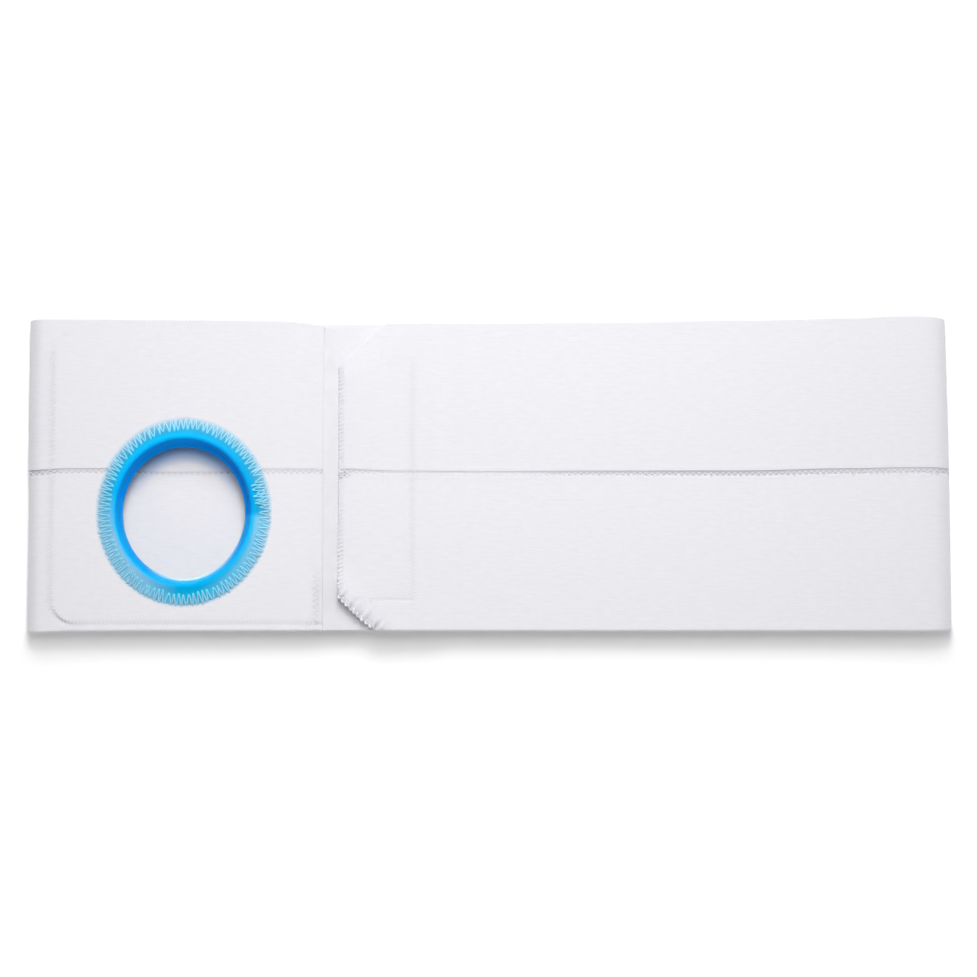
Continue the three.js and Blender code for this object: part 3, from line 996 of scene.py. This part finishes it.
def hole_share(x, y):
    """How far out a point lies from the hole's centre, as a share of the oval hole's radius."""
    return np.hypot((x - RING_X) / RING_OVAL[0], (y - RING_Y) / RING_OVAL[1]) / CLOTH_HOLE_RADIUS


def four_corners(grid):
    """A grid's values at the four corners of each cell."""
    return np.stack([grid[:-1, :-1], grid[1:, :-1], grid[:-1, 1:], grid[1:, 1:]])


def cut_hole(x, y, holed):
    """The cells of a sheet outside the ring's hole, and its points, those round the hole drawn onto its oval.

    holed says where the sheet has the hole. Round it, a point's cells are neither all kept nor all left out.
    """
    share = np.where(holed, hole_share(x, y), np.inf)
    kept = four_corners(share).mean(0) > 1
    cells = four_corners(np.pad(kept, 1, mode="edge"))
    pull = np.where(cells.any(0) & ~cells.all(0), share, 1)
    return kept, RING_X + (x - RING_X) / pull, RING_Y + (y - RING_Y) / pull


def soft_edge(distance, softness, bluntness):
    """Half thickness near an edge: it swells from a blunt edge to its full value along a quarter circle."""
    share = np.clip(1 - distance / softness, 0, 1)
    return BAND_THICKNESS / 2 * (bluntness + (1 - bluntness) * np.sqrt(1 - share**2))


def worn_edge(distance, softness, bluntness):
    """Half thickness near a worn edge: it swells from a blunt edge to its full value along a smooth step."""
    return BAND_THICKNESS / 2 * (bluntness + (1 - bluntness) * smooth_step(distance / softness))


def seam_groove(distance, s):
    """Share of the groove beside the lower band's seam edge: level at first, then a smooth rise to the face.

    Its level part swells and shrinks with each stitch, unevenly, and its depth and width follow the tables.
    """
    turn = 2 * math.pi * s / SEAM_PITCH
    swell = 0.22 + 0.1 * np.sin(0.37 * turn) + 0.1 * np.sin(0.211 * turn + 1.3)
    level = np.interp(s, LINE_S, GROOVE_WIDTH) * (1 - swell * np.cos(turn)) - GROOVE_RISE / 2
    depth = np.interp(s, LINE_S, GROOVE) * smooth_step((LINE_S[-1] - s) / (3 * MM))
    return depth * (1 - smooth_step((distance - level) / GROOVE_RISE))


def painted_cut_end_shade(s, y):
    """Painted shade at the bands' cut end: a bell curve along the band, stronger lower down."""
    upper, lower = PAINTED_CUT_END_SHADE
    return bell(s, 0.8 * MM) * (upper + (lower - upper) * smooth_step((10 * MM - y) / (20 * MM)))


def painted_fold_shade(x):
    """Painted shade where the cloth turns down at a fold: a smooth step over its last millimetres."""
    near_end = smooth_step((np.abs(x) - BELT_HALF + 7 * MM) / (5 * MM))
    return near_end * np.where(x < 0, PAINTED_FOLD_SHADE["left"], PAINTED_FOLD_SHADE["right"])


def band_grid(side):
    """A band's points on the middle line's surface, and where its seam runs.

    Its rows run between its two edges. The lower band's left fold is a little shorter than its solid.
    """
    shares = across_shares(side, **BAND_ROWS[side])
    if side == "bottom":
        seam = SEAM + SEAM_GAP / 2 - SEAM_SLIT
        first, last = EDGE["bottom"], seam
        line_x = np.where(LINE_X < -TURN_X, -TURN_X + LOWER_FOLD_REACH * (LINE_X + TURN_X), LINE_X)
    else:
        seam = SEAM + SEAM_GAP / 2
        first, last = seam, EDGE["top"]
        shares = 1 - shares[::-1]
        line_x = LINE_X
    y = first[:, None] + (last - first)[:, None] * shares
    return line_x[:, None] + fold_shift(LINE_X[:, None], y), y, seam[:, None]


def band_half(side, y, seam):
    """Half a band's thickness: the least that its edges, its cut end and its tab's end allow.

    Along the tab's upper cut the edge keeps its full thickness.
    """
    s = LINE_S[:, None]
    from_edge = np.abs(y - EDGE[side][:, None])
    half = soft_edge(from_edge, EDGE_SOFTNESS, EDGE_BLUNTNESS)
    if side == "top":
        on_cut = np.clip(slanted_cut(side)[:, None] / (1.5 * MM), 0, 1)
        half = half + on_cut * (BAND_THICKNESS / 2 - half)
        half = np.minimum(half, soft_edge(y - seam, SEAM_SOFTNESS, SEAM_BLUNTNESS))
    half = np.minimum(half, worn_edge(s, CUT_END_SOFTNESS, CUT_END_BLUNTNESS))
    return np.minimum(half, worn_edge(LINE_S[-1] - s, TAB_END_SOFTNESS, TAB_END_BLUNTNESS))


def elastic_band(name, side, material):
    """One band: faces half a thickness off the middle line, dented by stitches and curled at the tab."""
    x, y, seam = band_grid(side)
    s, tab = LINE_S[:, None], ON_TAB[:, None]
    half = band_half(side, y, seam)
    on_panel = ((run_of <= 1) & (LINE_Z > FRONT_Z * 0.6))[:, None]
    panel_dent, panel_painted_shade = panel_marks(x, y)
    patch_dent, patch_painted_shade = patch_marks(x, y)
    dent = panel_dent * on_panel + patch_dent * tab
    # Painted shade at the stitch lines, the cut end and the folds.
    shade = panel_painted_shade * on_panel + patch_painted_shade * tab + painted_cut_end_shade(s, y) + painted_fold_shade(x)
    if side == "bottom":
        # The groove's share dents the cloth and also paints shade in it.
        beside_seam = seam_groove(seam - y, s)
        # Painted shade on the cloth by the tab's lower cut.
        lower_cut_shade = PAINTED_CUT_SHADE * tab * bell(inside_cut(side, x, y, EDGE[side][:, None]), PAINTED_CUT_SHADE_REACH)
        dent = dent + GROOVE_DEPTH * beside_seam
        shade = shade + beside_seam + lower_cut_shade
    else:
        dent = dent - HEM_ROLL * bell(y - seam - 1.5 * MM, 0.8 * MM)
    kept, x, y = cut_hole(x, y, ON_RING_SIDE[:, None])
    # Painted shade along the seam on the inner face that the hole shows.
    painted_inner_shade = PAINTED_INNER_SEAM_SHADE * bell(y - seam + 0.3 * MM, 0.6 * MM)
    edges = {key: edge[:, None] for key, edge in EDGE.items()}
    lift = LINE_Z[:, None] + tab * tab_lift(x, y, edges, side == "bottom")
    faces = [
        np.stack([x + OUT_X[:, None] * offset, y, lift + OUT_Z[:, None] * offset], -1)
        for offset in (half - dent, -half)
    ]
    uv = np.stack([np.broadcast_to(s, y.shape), y], -1) * UV_SCALE
    painted_shades = np.stack([shade, painted_inner_shade])
    return put_mesh(name, np.stack(faces), sheet_faces(kept), np.stack([uv, uv]), material, painted_shades)


upper_band = elastic_band("elastic_upper_band", "top", elastic_upper)
lower_band = elastic_band("elastic_lower_band", "bottom", elastic_lower)
print("band faces:", len(upper_band.data.polygons), len(lower_band.data.polygons))

# %% [markdown]
# ## Backing panel and hook patch
# Both are flat cut sheets with rounded corners. A bevelled plane would give the outline but no control of
# its rows. Here, row by row, the sheet's left and right limits follow the corner arcs, and each row is
# divided between them at the same shares, so one grid gives the whole outline. Between the bands' cut end
# and the tab a strip of the panel lies bare. It swells up there, so its columns lie closer together.

# %% Backing panel and hook patch
STRIP_LIFT = 1.5 * MM
STRIP_RISE = 0.62 * MM
STRIP_SINK = {"share": 0.65, "y": -50 * MM, "reach": 16 * MM}
UNDER_TAB = (1.1 * MM, 1.5 * MM)
BESIDE_TAB_REACH = 6 * MM
PANEL_LOW = Vector((panel_low.x, -75.2 * MM, panel_low.z))
PANEL_HIGH = Vector((panel_high.x, 74.4 * MM, panel_high.z))
PANEL_CORNER = 12 * MM
PANEL_TOP_SLOPE = -1.2 * MM
PATCH_CORNER = 6 * MM
PANEL_COLUMNS = [
    (-20, -46, 14), (-46, -80, 68), (-80, -80.7, 4),
    (-80.7, -81.3, 12), (-81.3, -84, 6), (-84, -214.5, 80),
]


def strip_lift(x, y):
    """Lift of the panel where neither the bands nor the tab lie on it: it swells up between them.

    It is highest beside the tab's end and upper cut, and it sinks towards the belt's lower edge, where the
    tab's corner stands up. Each change is a smooth step of the distance from an edge of the tab or bands.
    """
    tab_edge = {side: np.interp(-x, -LINE_X[ON_TAB], EDGE[side][ON_TAB]) for side in ("top", "bottom")}
    top = inside_cut("top", x, y, tab_edge["top"]) * np.where(y < tab_edge["top"], 1, -1)
    bottom = inside_cut("bottom", x, y, tab_edge["bottom"]) * np.where(y > tab_edge["bottom"], 1, -1)
    inside = np.minimum(np.minimum(top, x - TAB_END_X), bottom)
    bare = 1 - smooth_step((inside - UNDER_TAB[0]) / UNDER_TAB[1])
    beside_tab = smooth_step(1 + np.minimum(top, x - TAB_END_X) / BESIDE_TAB_REACH)
    sunk = STRIP_SINK["share"] * smooth_step((STRIP_SINK["y"] - y) / STRIP_SINK["reach"])
    off_bands = smooth_step(1.5 + (x - BANDS_END_X) / (0.4 * MM))
    return (STRIP_LIFT + STRIP_RISE * beside_tab) * (1 - sunk) * bare * off_bands


def flat_sheet(name, low, high, corner, top_slope, columns, material, holed):
    """A rounded sheet: rows across, each from its left to its right limit, thinner at its outline."""
    width, depth = high.x - low.x, high.y - low.y
    rows = corner * (1 - np.cos(np.linspace(0, math.pi / 2, 14)))
    y_flat = np.concatenate([rows, np.linspace(corner, depth - corner, 90)[1:-1], depth - rows[::-1]])
    from_corner = np.clip(corner - np.minimum(y_flat, depth - y_flat), 0, corner)
    inset = corner - np.sqrt(np.clip(corner**2 - from_corner**2, 0, None))
    x = low.x + inset + columns[:, None] * (width - 2 * inset)
    slope = top_slope * (x - low.x) / width * y_flat / depth
    y = low.y + y_flat + slope
    distance = np.minimum(np.minimum(x - low.x, high.x - x), np.minimum(y - low.y, high.y + slope - y))
    half = (high.z - low.z) / 2 * (0.94 + 0.06 * np.clip(distance / (0.2 * MM), 0, 1))
    middle = (low.z + high.z) / 2 + (strip_lift(x, y) if holed else 0)
    kept, x, y = cut_hole(x, y, holed)
    points = np.stack([np.stack([x, y, middle + sign * half], -1) for sign in (1, -1)])
    uv = np.stack([x, y], -1) * UV_SCALE
    return put_mesh(name, points, sheet_faces(kept), np.stack([uv, uv]), material)


panel_x = np.concatenate([np.linspace(x0, x1, count, endpoint=False) for x0, x1, count in PANEL_COLUMNS]) * MM
panel_columns = np.append((panel_x - panel_low.x) / (panel_high.x - panel_low.x), 0)
patch_columns = np.linspace(1, 0, 40)
panel = flat_sheet(
    "loop_backing_panel", PANEL_LOW, PANEL_HIGH, PANEL_CORNER, PANEL_TOP_SLOPE,
    panel_columns, panel_cloth, holed=True,
)
patch = flat_sheet(
    "hook_tape_patch", hook_low, hook_high, PATCH_CORNER, 0.0, patch_columns, patch_tape, holed=False
)
print("panel and patch faces:", len(panel.data.polygons), len(patch.data.polygons))

# %% [markdown]
# ## Pouch ring
# The ring is moulded in one: a neck through the cloth, a cone up to a narrow smooth land, and a flange that
# thins out towards its edge. Blender's Spin tool could turn such a section, but only round a circle. This
# ring is a little taller than wide, so its section, a short list of corners rounded by a spline, is carried
# round an oval.

# %% Pouch ring
RING_SECTION = [
    (35.5, 0.0), (42.8, 0.0), (43.2, 0.12), (42.8, 0.32), (40.8, 0.95), (38.6, 1.95), (37.3, 2.68),
    (36.2, 3.35), (35.3, 3.6), (34.5, 3.5), (34.0, 3.0), (33.2, 0.4), (32.5, -0.8), (31.6, -1.5),
    (31.1, -2.0), (31.4, -2.6), (33.4, -2.6),
]
RING_UPPER_SIDE = slice(2, 9)
SECTION_STEPS = 5
SECTION_TENSION = 0.35
RING_STEPS = 288
RING_LEAN = 0.08


def rounded_loop(corners, per_side):
    """A closed curve through corner points: each stretch is a cubic that leans on its neighbours."""
    p = np.array(corners)
    before, after, beyond = np.roll(p, 1, 0), np.roll(p, -1, 0), np.roll(p, -2, 0)
    share = np.linspace(0, 1, per_side, endpoint=False)[None, :, None]
    start, end = SECTION_TENSION * (after - before)[:, None], SECTION_TENSION * (beyond - p)[:, None]
    near, far = p[:, None], after[:, None]
    curve = (
        (2 * share**3 - 3 * share**2 + 1) * near
        + (share**3 - 2 * share**2 + share) * start
        + (3 * share**2 - 2 * share**3) * far
        + (share**3 - share**2) * end
    )
    return curve.reshape(-1, 2)


def pouch_ring(name, material):
    """The section's loop carried round an oval: x and y are radius times oval, z is height on the seat.

    It leans a little towards the belt's upper edge, by a share of its height.
    """
    section = rounded_loop(RING_SECTION, SECTION_STEPS) * MM
    turn = np.linspace(0, 2 * math.pi, RING_STEPS, endpoint=False)[:, None]
    radius, height = section[None, :, 0], section[None, :, 1]
    x = RING_X + RING_OVAL[0] * radius * np.cos(turn)
    y = RING_Y + RING_OVAL[1] * radius * np.sin(turn) + RING_LEAN * height
    z = np.broadcast_to(RING_SEAT_Z + height, x.shape)
    way = np.arange(radius.size)[None] / radius.size
    uv = np.stack([np.broadcast_to(turn / (2 * math.pi), x.shape), np.broadcast_to(way, x.shape)], -1)
    faces = [block[:, ::-1] for block in wrapped_faces(*x.shape, close_ends=False)]
    return put_mesh(name, np.stack([x, y, z], -1), faces, uv, material)


ring = pouch_ring("blue_pouch_ring", blue_plastic)
print("ring faces:", len(ring.data.polygons))

# %% [markdown]
# ## Thread
# A stitch is a thread that dives into the cloth at each needle point and bridges the surface between them.
# A curve with a bevel would do for one stitch. For thousands, a tube worked out round a path of points is
# lighter, and all the stitches of one line are one tube, or a few tubes in one mesh.

# %% Thread
THREAD_SIDES = 6


def thread_grid(path, radius):
    """A tube's points: rings of a circle square to the path, whose last points draw in to close the ends."""
    along = unit(np.gradient(path, axis=0))
    side = unit(np.cross(along, np.array([0, 0, 1.0])))
    rise = np.cross(side, along)
    angle = np.linspace(0, 2 * math.pi, THREAD_SIDES, endpoint=False)
    size = np.broadcast_to(radius, len(path)).copy()
    size[[0, -1]] *= 0.3
    circle = np.cos(angle)[:, None] * side[:, None] + np.sin(angle)[:, None] * rise[:, None]
    points = path[:, None] + size[:, None, None] * circle
    uv = np.stack(np.broadcast_arrays(lengths_along(path)[:, None] * UV_SCALE, angle / (2 * math.pi)), -1)
    return points, uv


def put_threads(name, paths, radii, material):
    """One mesh from several thread paths, each with one radius or with a radius for each of its points."""
    points, uvs, faces, count = [], [], [], 0
    for path, radius in zip(paths, radii):
        grid, uv = thread_grid(path, radius)
        for block in wrapped_faces(*grid.shape[:2], close_ends=True):
            faces.append(block + count)
        count += grid.shape[0] * grid.shape[1]
        points.append(grid.reshape(-1, 3))
        uvs.append(uv.reshape(-1, 2))
    return put_mesh(name, np.concatenate(points), faces, np.concatenate(uvs), material)


print("sides of a thread:", THREAD_SIDES)

# %% [markdown]
# ## Ring stitching
# One pale blue zigzag holds the ring down all round. It starts and stops at the ring's right side, where a
# few extra stitches overlap and reach further in. On the ring's left the stitches are longer too. An even
# zigzag would look machined, so each stitch differs a little from the next, by seeded chance.

# %% Ring stitching
RING_STITCHES = 98
RING_STITCH_RADII = (38.2 * MM, 45.0 * MM)
LEFT_REACH = 1.5 * MM
RING_THREAD = 0.34 * MM
RING_THREAD_RISE = 0.18 * MM
RING_THREAD_THINNING = 0.45
RING_TIP = 0.015
RING_THREAD_SINK = {"outer": 0.55 * MM, "inner": 0.4 * MM}
UNEVEN_SWING = 0.4 * MM
UNEVEN_RADIUS = 0.2 * MM
UNEVEN_TURN = 0.2
STITCH_POINTS = 14
OVERLAP = {"first_turn": 0.6, "stitches": 5, "radii": (36.6 * MM, 42.6 * MM)}
OVERLAP_RISE = 0.25 * MM


def ring_surface(radius):
    """Height of the ring's upper side, or of the cloth beyond it, at a section radius."""
    upper = np.array(RING_SECTION[RING_UPPER_SIDE])[::-1] * MM
    return RING_SEAT_Z + np.interp(radius, upper[:, 0], upper[:, 1], right=-PIECE_GAP)


def triangle_wave(turns, softness):
    """A zigzag between -1 and 1, once up and down in a turn, whose tips are rounded by the softness."""
    top = math.asin(1 - softness)
    return np.arcsin((1 - softness) * np.sin(2 * math.pi * turns)) / top


def ring_zigzag(first_turn, stitches, radii, rng):
    """A zigzag in polar form: the angle grows evenly, the radius swings between two limits, both unevenly.

    The inner turns reach further in on the ring's left side, by the square of the cosine. The thread thins
    out towards its outer turns, where it is drawn into the cloth.
    """
    turns = np.linspace(0, stitches, stitches * STITCH_POINTS + 1)
    marks = np.arange(stitches + 1)
    wave = triangle_wave(turns, RING_TIP)
    uneven = np.interp(turns, marks, rng.normal(0, 1, stitches + 1))
    shift = np.interp(turns, marks, rng.normal(0, 1, stitches + 1))
    middle, swing = sum(radii) / 2, (radii[1] - radii[0]) / 2
    radius = middle + (swing + UNEVEN_SWING * uneven) * wave + UNEVEN_RADIUS * shift
    angle = 2 * math.pi * (first_turn + turns + UNEVEN_TURN * shift) / RING_STITCHES
    radius -= LEFT_REACH * np.maximum(-np.cos(angle), 0) ** 2 * (1 - wave) / 2
    x = RING_X + RING_OVAL[0] * radius * np.cos(angle)
    y = RING_Y + RING_OVAL[1] * radius * np.sin(angle)
    sink = np.where(wave > 0, RING_THREAD_SINK["outer"], RING_THREAD_SINK["inner"])
    z = ring_surface(radius) + RING_THREAD_RISE - (RING_THREAD_RISE + sink) * np.abs(wave) ** 4
    return np.stack([x, y, z], -1), RING_THREAD * (1 - RING_THREAD_THINNING * np.maximum(wave, 0) ** 3)


def ring_stitching(name, material):
    """The full round, and the few stitches that overlap where it starts and stops."""
    rng = np.random.default_rng(7)
    full_round, round_size = ring_zigzag(3, RING_STITCHES, RING_STITCH_RADII, rng)
    overlap, overlap_size = ring_zigzag(**OVERLAP, rng=rng)
    overlap[:, 2] += OVERLAP_RISE
    return put_threads(name, [full_round, overlap], [round_size, overlap_size], material)


ring_thread = ring_stitching("ring_stitching", blue_thread)
print("ring thread faces:", len(ring_thread.data.polygons))

# %% [markdown]
# ## Midline seam
# The bands are joined edge to edge by a zigzag that lies mostly on the lower band. It runs round the whole
# loop, so its path is worked out on the bands' own surface: along the middle line, off the seam, and a
# little sunk into the cloth. A Shrinkwrap modifier could lay it there too, but less exactly.

# %% Midline seam
SEAM_THREAD = 0.2 * MM
SEAM_TIP = 0.05
SEAM_ZIGZAGS = (
    {"depth": 1.5 * MM, "swing": 0.6 * MM, "sunk": 0.06 * MM},
    {"depth": 3.3 * MM, "swing": 0.9 * MM, "sunk": 0.12 * MM},
)
HOLE_ZIGZAG = {"depth": 0.7 * MM, "swing": 0.8 * MM, "proud": 0.02 * MM, "reach": 33 * MM, "points": 230}
SEAM_CLEARS_RING = 44 * MM


def on_outer_face(s, y, height):
    """Points over the bands' outer face, from a place along the middle line, a place across, and a height."""
    x = np.interp(s, LINE_S, LINE_X)
    base = np.stack([x + fold_shift(x, y), y, np.interp(s, LINE_S, LINE_Z)], -1)
    out = np.stack([np.interp(s, LINE_S, OUT_X), np.zeros_like(s), np.interp(s, LINE_S, OUT_Z)], -1)
    return base + (BAND_THICKNESS / 2 + height)[:, None] * out


def off_ring(path, along):
    """The stretches of a path on the bands that lie clear of the ring."""
    near_ring = hole_share(path[:, 0], path[:, 1]) < SEAM_CLEARS_RING / CLOTH_HOLE_RADIUS
    on_ring = (along < BANDS_END_X + TURN_X) & near_ring
    stretches = np.split(path, np.flatnonzero(np.diff(on_ring.astype(int))) + 1)
    return stretches[::2]


def seam_stitching(name, material):
    """Two zigzags below the seam, one in its groove and one under it, and a third in the hole.

    The one in the hole lies on the back layer's inner face, where the ring lets it be seen.
    """
    paths = []
    stitches = LINE_S[-1] / SEAM_PITCH
    turns = np.linspace(0, stitches, int(stitches) * 10)
    along = turns * SEAM_PITCH
    for zigzag in SEAM_ZIGZAGS:
        down = zigzag["depth"] + zigzag["swing"] * triangle_wave(turns + 0.25, SEAM_TIP)
        y = np.interp(along, LINE_S, SEAM) + SEAM_GAP / 2 - down
        height = -GROOVE_DEPTH * seam_groove(down, along) - zigzag["sunk"]
        paths.extend(off_ring(on_outer_face(along, y, height), along))
    x = np.linspace(RING_X - HOLE_ZIGZAG["reach"], RING_X + HOLE_ZIGZAG["reach"], HOLE_ZIGZAG["points"])
    wave = triangle_wave(x / SEAM_PITCH, SEAM_TIP)
    y = BACK_EDGES["seam"] * MM - HOLE_ZIGZAG["depth"] + HOLE_ZIGZAG["swing"] * wave
    paths.append(np.stack([x, y, np.full_like(x, BAND_THICKNESS + HOLE_ZIGZAG["proud"])], -1))
    return put_threads(name, paths, [SEAM_THREAD] * len(paths), material)


seam_thread = seam_stitching("midline_seam_stitching", white_thread)
print("seam thread faces:", len(seam_thread.data.polygons))

# %% [markdown]
# ## Panel and patch stitching
# The panel and the hook patch are sewn on with narrow zigzags along their outlines. Each outline is walked
# at even steps, and the zigzag steps off it to both sides, so its pitch stays the same round the corners.

# %% Panel and patch stitching
OUTLINE_PITCH = 1.9 * MM
OUTLINE_SWING = 1.7 * MM
OUTLINE_THREAD = 0.16 * MM
OUTLINE_TIP = 0.03
STEPS_PER_STITCH = 10
RIGHT_PITCH = 3.0 * MM
RIGHT_SWING = 1.85 * MM
RIGHT_FROM_X = -90 * MM
RIGHT_LOW_END_PROUD = 0.18 * MM
PANEL_PROUD_X = [-209 * MM, -203 * MM, RIGHT_FROM_X]
PANEL_PROUD = [0.0, -0.04 * MM, -0.09 * MM]
COLUMN_SUNK = 0.05 * MM
ROW_PITCH = 2.4 * MM
ROW_RISE = 0.2 * MM
ROW_SUNK = 0.25 * MM


def walk_along(corners, length, at):
    """Points at given lengths along a line of corners, and the directions to its right there."""
    walk = np.stack([np.interp(at, length, corners[:, i]) for i in (0, 1)], -1)
    direction = unit(np.gradient(walk, axis=0))
    return walk, np.stack([direction[:, 1], -direction[:, 0]], -1)


def outline_walk(outline, spacing):
    """Points at even steps and outward directions round a rounded rectangle, anticlockwise."""
    corner = outline["corner"]
    low, high = np.array(outline["low"]) + corner, np.array(outline["high"]) - corner
    centres = np.array([low, (high[0], low[1]), high, (low[0], high[1])])
    angle = math.pi + np.arange(4)[:, None] * math.pi / 2 + np.linspace(0, math.pi / 2, 12)
    arcs = centres[:, None] + corner * np.stack([np.cos(angle), np.sin(angle)], -1)
    loop = np.concatenate([*arcs, arcs[0, :1]])
    length = lengths_along(loop)
    at = np.linspace(0, length[-1], int(length[-1] / spacing))
    return at, *walk_along(loop, length, at)


def zigzag_column(x, low, high, pitch, swing):
    """A zigzag up a column, whose points swing to both sides of x."""
    y = np.linspace(low, high, int((high - low) / pitch) * STEPS_PER_STITCH)
    return np.stack([x + swing * triangle_wave(y / pitch, OUTLINE_TIP), y], -1)


def front_place(x, run_from):
    """Place along the middle line of a front x, on the ring side or on the tab side of the closure."""
    if run_from == "ring":
        chosen = (run_of == 0) | ((run_of == 1) & (LINE_Z > (FRONT_Z + BACK_Z) / 2))
    else:
        chosen = run_of >= 4
    order = np.argsort(LINE_X[chosen])
    return np.interp(x, LINE_X[chosen][order], LINE_S[chosen][order])


def panel_stitching(name, material):
    """A narrow zigzag along the panel's outline up to the bands' cut end, and a wider one down that end.

    It stands proudest along the panel's left side and is half sunk in its dent elsewhere.
    """
    at, walk, out = outline_walk(PANEL_STITCH, OUTLINE_PITCH / STEPS_PER_STITCH)
    wave = triangle_wave(at / OUTLINE_PITCH, OUTLINE_TIP)
    flat = walk + OUTLINE_SWING * wave[:, None] * out
    sewn = flat[:, 0] < PANEL_STITCH_RIGHT
    stretches = np.split(flat, np.flatnonzero(np.diff(sewn.astype(int))) + 1)[::2]
    low, high = PANEL_STITCH["low"][1], PANEL_STITCH["high"][1]
    stretches.append(zigzag_column(PANEL_STITCH_RIGHT, low, high, RIGHT_PITCH, RIGHT_SWING))
    paths = []
    for x, y in (stretch.T for stretch in stretches):
        on_low_end = RIGHT_LOW_END_PROUD * low_end(y) * (x > RIGHT_FROM_X)
        proud = np.interp(x, PANEL_PROUD_X, PANEL_PROUD) + on_low_end
        paths.append(on_outer_face(front_place(x, "ring"), y, proud - panel_marks(x, y)[0]))
    return put_threads(name, paths, [OUTLINE_THREAD] * len(paths), material)


def on_tab(flat, height):
    """Points over the tab's upper face, lifted with its curled corners."""
    x, y = flat.T
    s = front_place(x, "tab")
    path = on_outer_face(s, y, height)
    edges = {key: np.interp(s, LINE_S, edge) for key, edge in EDGE.items()}
    path[:, 2] += np.where(x < TAB_STEP_X[1], tab_lift(x, y, edges, y <= 0), 0)
    return path


def patch_stitching(name, material):
    """A zigzag down the patch's right side, and a straight row of stitches along its top and bottom."""
    column = zigzag_column(HOOK_STITCH_RIGHT, *HOOK_STITCH_ROWS, OUTLINE_PITCH, OUTLINE_SWING)
    paths = [on_tab(column, -COLUMN_SUNK - patch_marks(*column.T)[0])]
    x = np.linspace(HOOK_STITCH_LEFT, HOOK_STITCH_RIGHT, 160)
    for row in HOOK_STITCH_ROWS:
        flat = np.stack([x, np.full_like(x, row)], -1)
        rise = ROW_RISE * np.abs(np.sin(math.pi * x / ROW_PITCH)) ** 0.5
        paths.append(on_tab(flat, rise - ROW_SUNK - patch_marks(*flat.T)[0]))
    return put_threads(name, paths, [OUTLINE_THREAD] * len(paths), material)


panel_thread = panel_stitching("panel_stitching", white_thread)
patch_thread = patch_stitching("hook_patch_stitching", white_thread)
print("outline thread faces:", len(panel_thread.data.polygons), len(patch_thread.data.polygons))

# %% [markdown]
# ## Overcast tab edge
# The tab's cut end would fray, so it is overcast: a thread wraps over the edge again and again, finely
# along the tab's end and coarsely along its lower cut. A row of separate loops would show gaps, so the path
# is one flat helix along the edge: each wrap goes in over the face, out past the edge and under it.

# %% Overcast tab edge
OVERCAST_PITCH = 2.0 * MM
OVERCAST_REACH = 3.2 * MM
OVERCAST_THREAD = {"end": 0.12 * MM, "lower_cut": 0.4 * MM}


def overcast_path(corners, pitch, reach, rng):
    """A flat helix round an edge: in and out along a cosine, over and under the cloth along a sine."""
    length = lengths_along(corners)
    at = np.arange(0, length[-1], pitch / STITCH_POINTS)
    walk, inward = walk_along(corners, length, at)
    turn = 2 * math.pi * at / pitch
    marks = np.arange(int(at[-1] / pitch) + 2)
    uneven = np.interp(at / pitch, marks, rng.normal(0, 1, len(marks)))
    flat = walk + inward * (reach * (1 + 0.3 * uneven) * (0.5 - 0.5 * np.cos(turn)) - 0.2 * MM)[:, None]
    height = np.where(np.sin(turn) > 0, 0.02 * MM, -BAND_THICKNESS * (1 - np.cos(turn)) / 2)
    return on_tab(flat, height), 1 + 0.3 * np.clip(uneven, -1.5, 1.5)


def lower_cut_line():
    """Points along the tab's lower cut, from the belt's long edge to the tab's end."""
    on_cut = ON_TAB & (LINE_X < TAB_END_X + TAB_CORNERS["bottom"]["run"])
    return np.stack([LINE_X[on_cut], EDGE["bottom"][on_cut]], -1)


def overcast(name, material):
    """A fine helix along the tab's end, and a coarse, ragged one along its lower cut."""
    rng = np.random.default_rng(11)
    end = np.array([(TAB_END_X, EDGE["bottom"][-1]), (TAB_END_X, EDGE["top"][-1])])
    fine, _ = overcast_path(end, OVERCAST_PITCH, OVERCAST_REACH, rng)
    coarse, swell = overcast_path(lower_cut_line(), 1.3 * OVERCAST_PITCH, 0.6 * OVERCAST_REACH, rng)
    radii = (OVERCAST_THREAD["end"], OVERCAST_THREAD["lower_cut"] * swell)
    return put_threads(name, [fine, coarse], radii, material)


tab_thread = overcast("tab_overcast_thread", white_thread)
print("overcast faces:", len(tab_thread.data.polygons))

# %% [markdown]
# ## What each piece stands for
# Nothing on the belt moves by itself, so every piece rides on the one body. Each cloth piece replaces its
# plain solid, which is hidden, and the ring replaces its solid too. The threads are new pieces.

# %% What each piece stands for
pieces = [
    (upper_band, "elastic_upper", "upper_band"),
    (lower_band, "elastic_lower", "lower_band"),
    (panel, "loop_panel", "backing_panel"),
    (patch, "hook_tape", "hook_patch"),
    (ring, "ring_plastic", "pouch_ring"),
    (ring_thread, "ring_plastic", None),
    (seam_thread, "elastic_lower", None),
    (panel_thread, "elastic_upper", None),
    (patch_thread, "elastic_upper", None),
    (tab_thread, "elastic_upper", None),
]
for piece, slot, node in pieces:
    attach(piece, "root")
    if node:
        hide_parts(node)
triangles = sum(len(p.vertices) - 2 for piece, _, _ in pieces for p in piece.data.polygons)
print("pieces:", len(pieces), "triangles:", triangles)
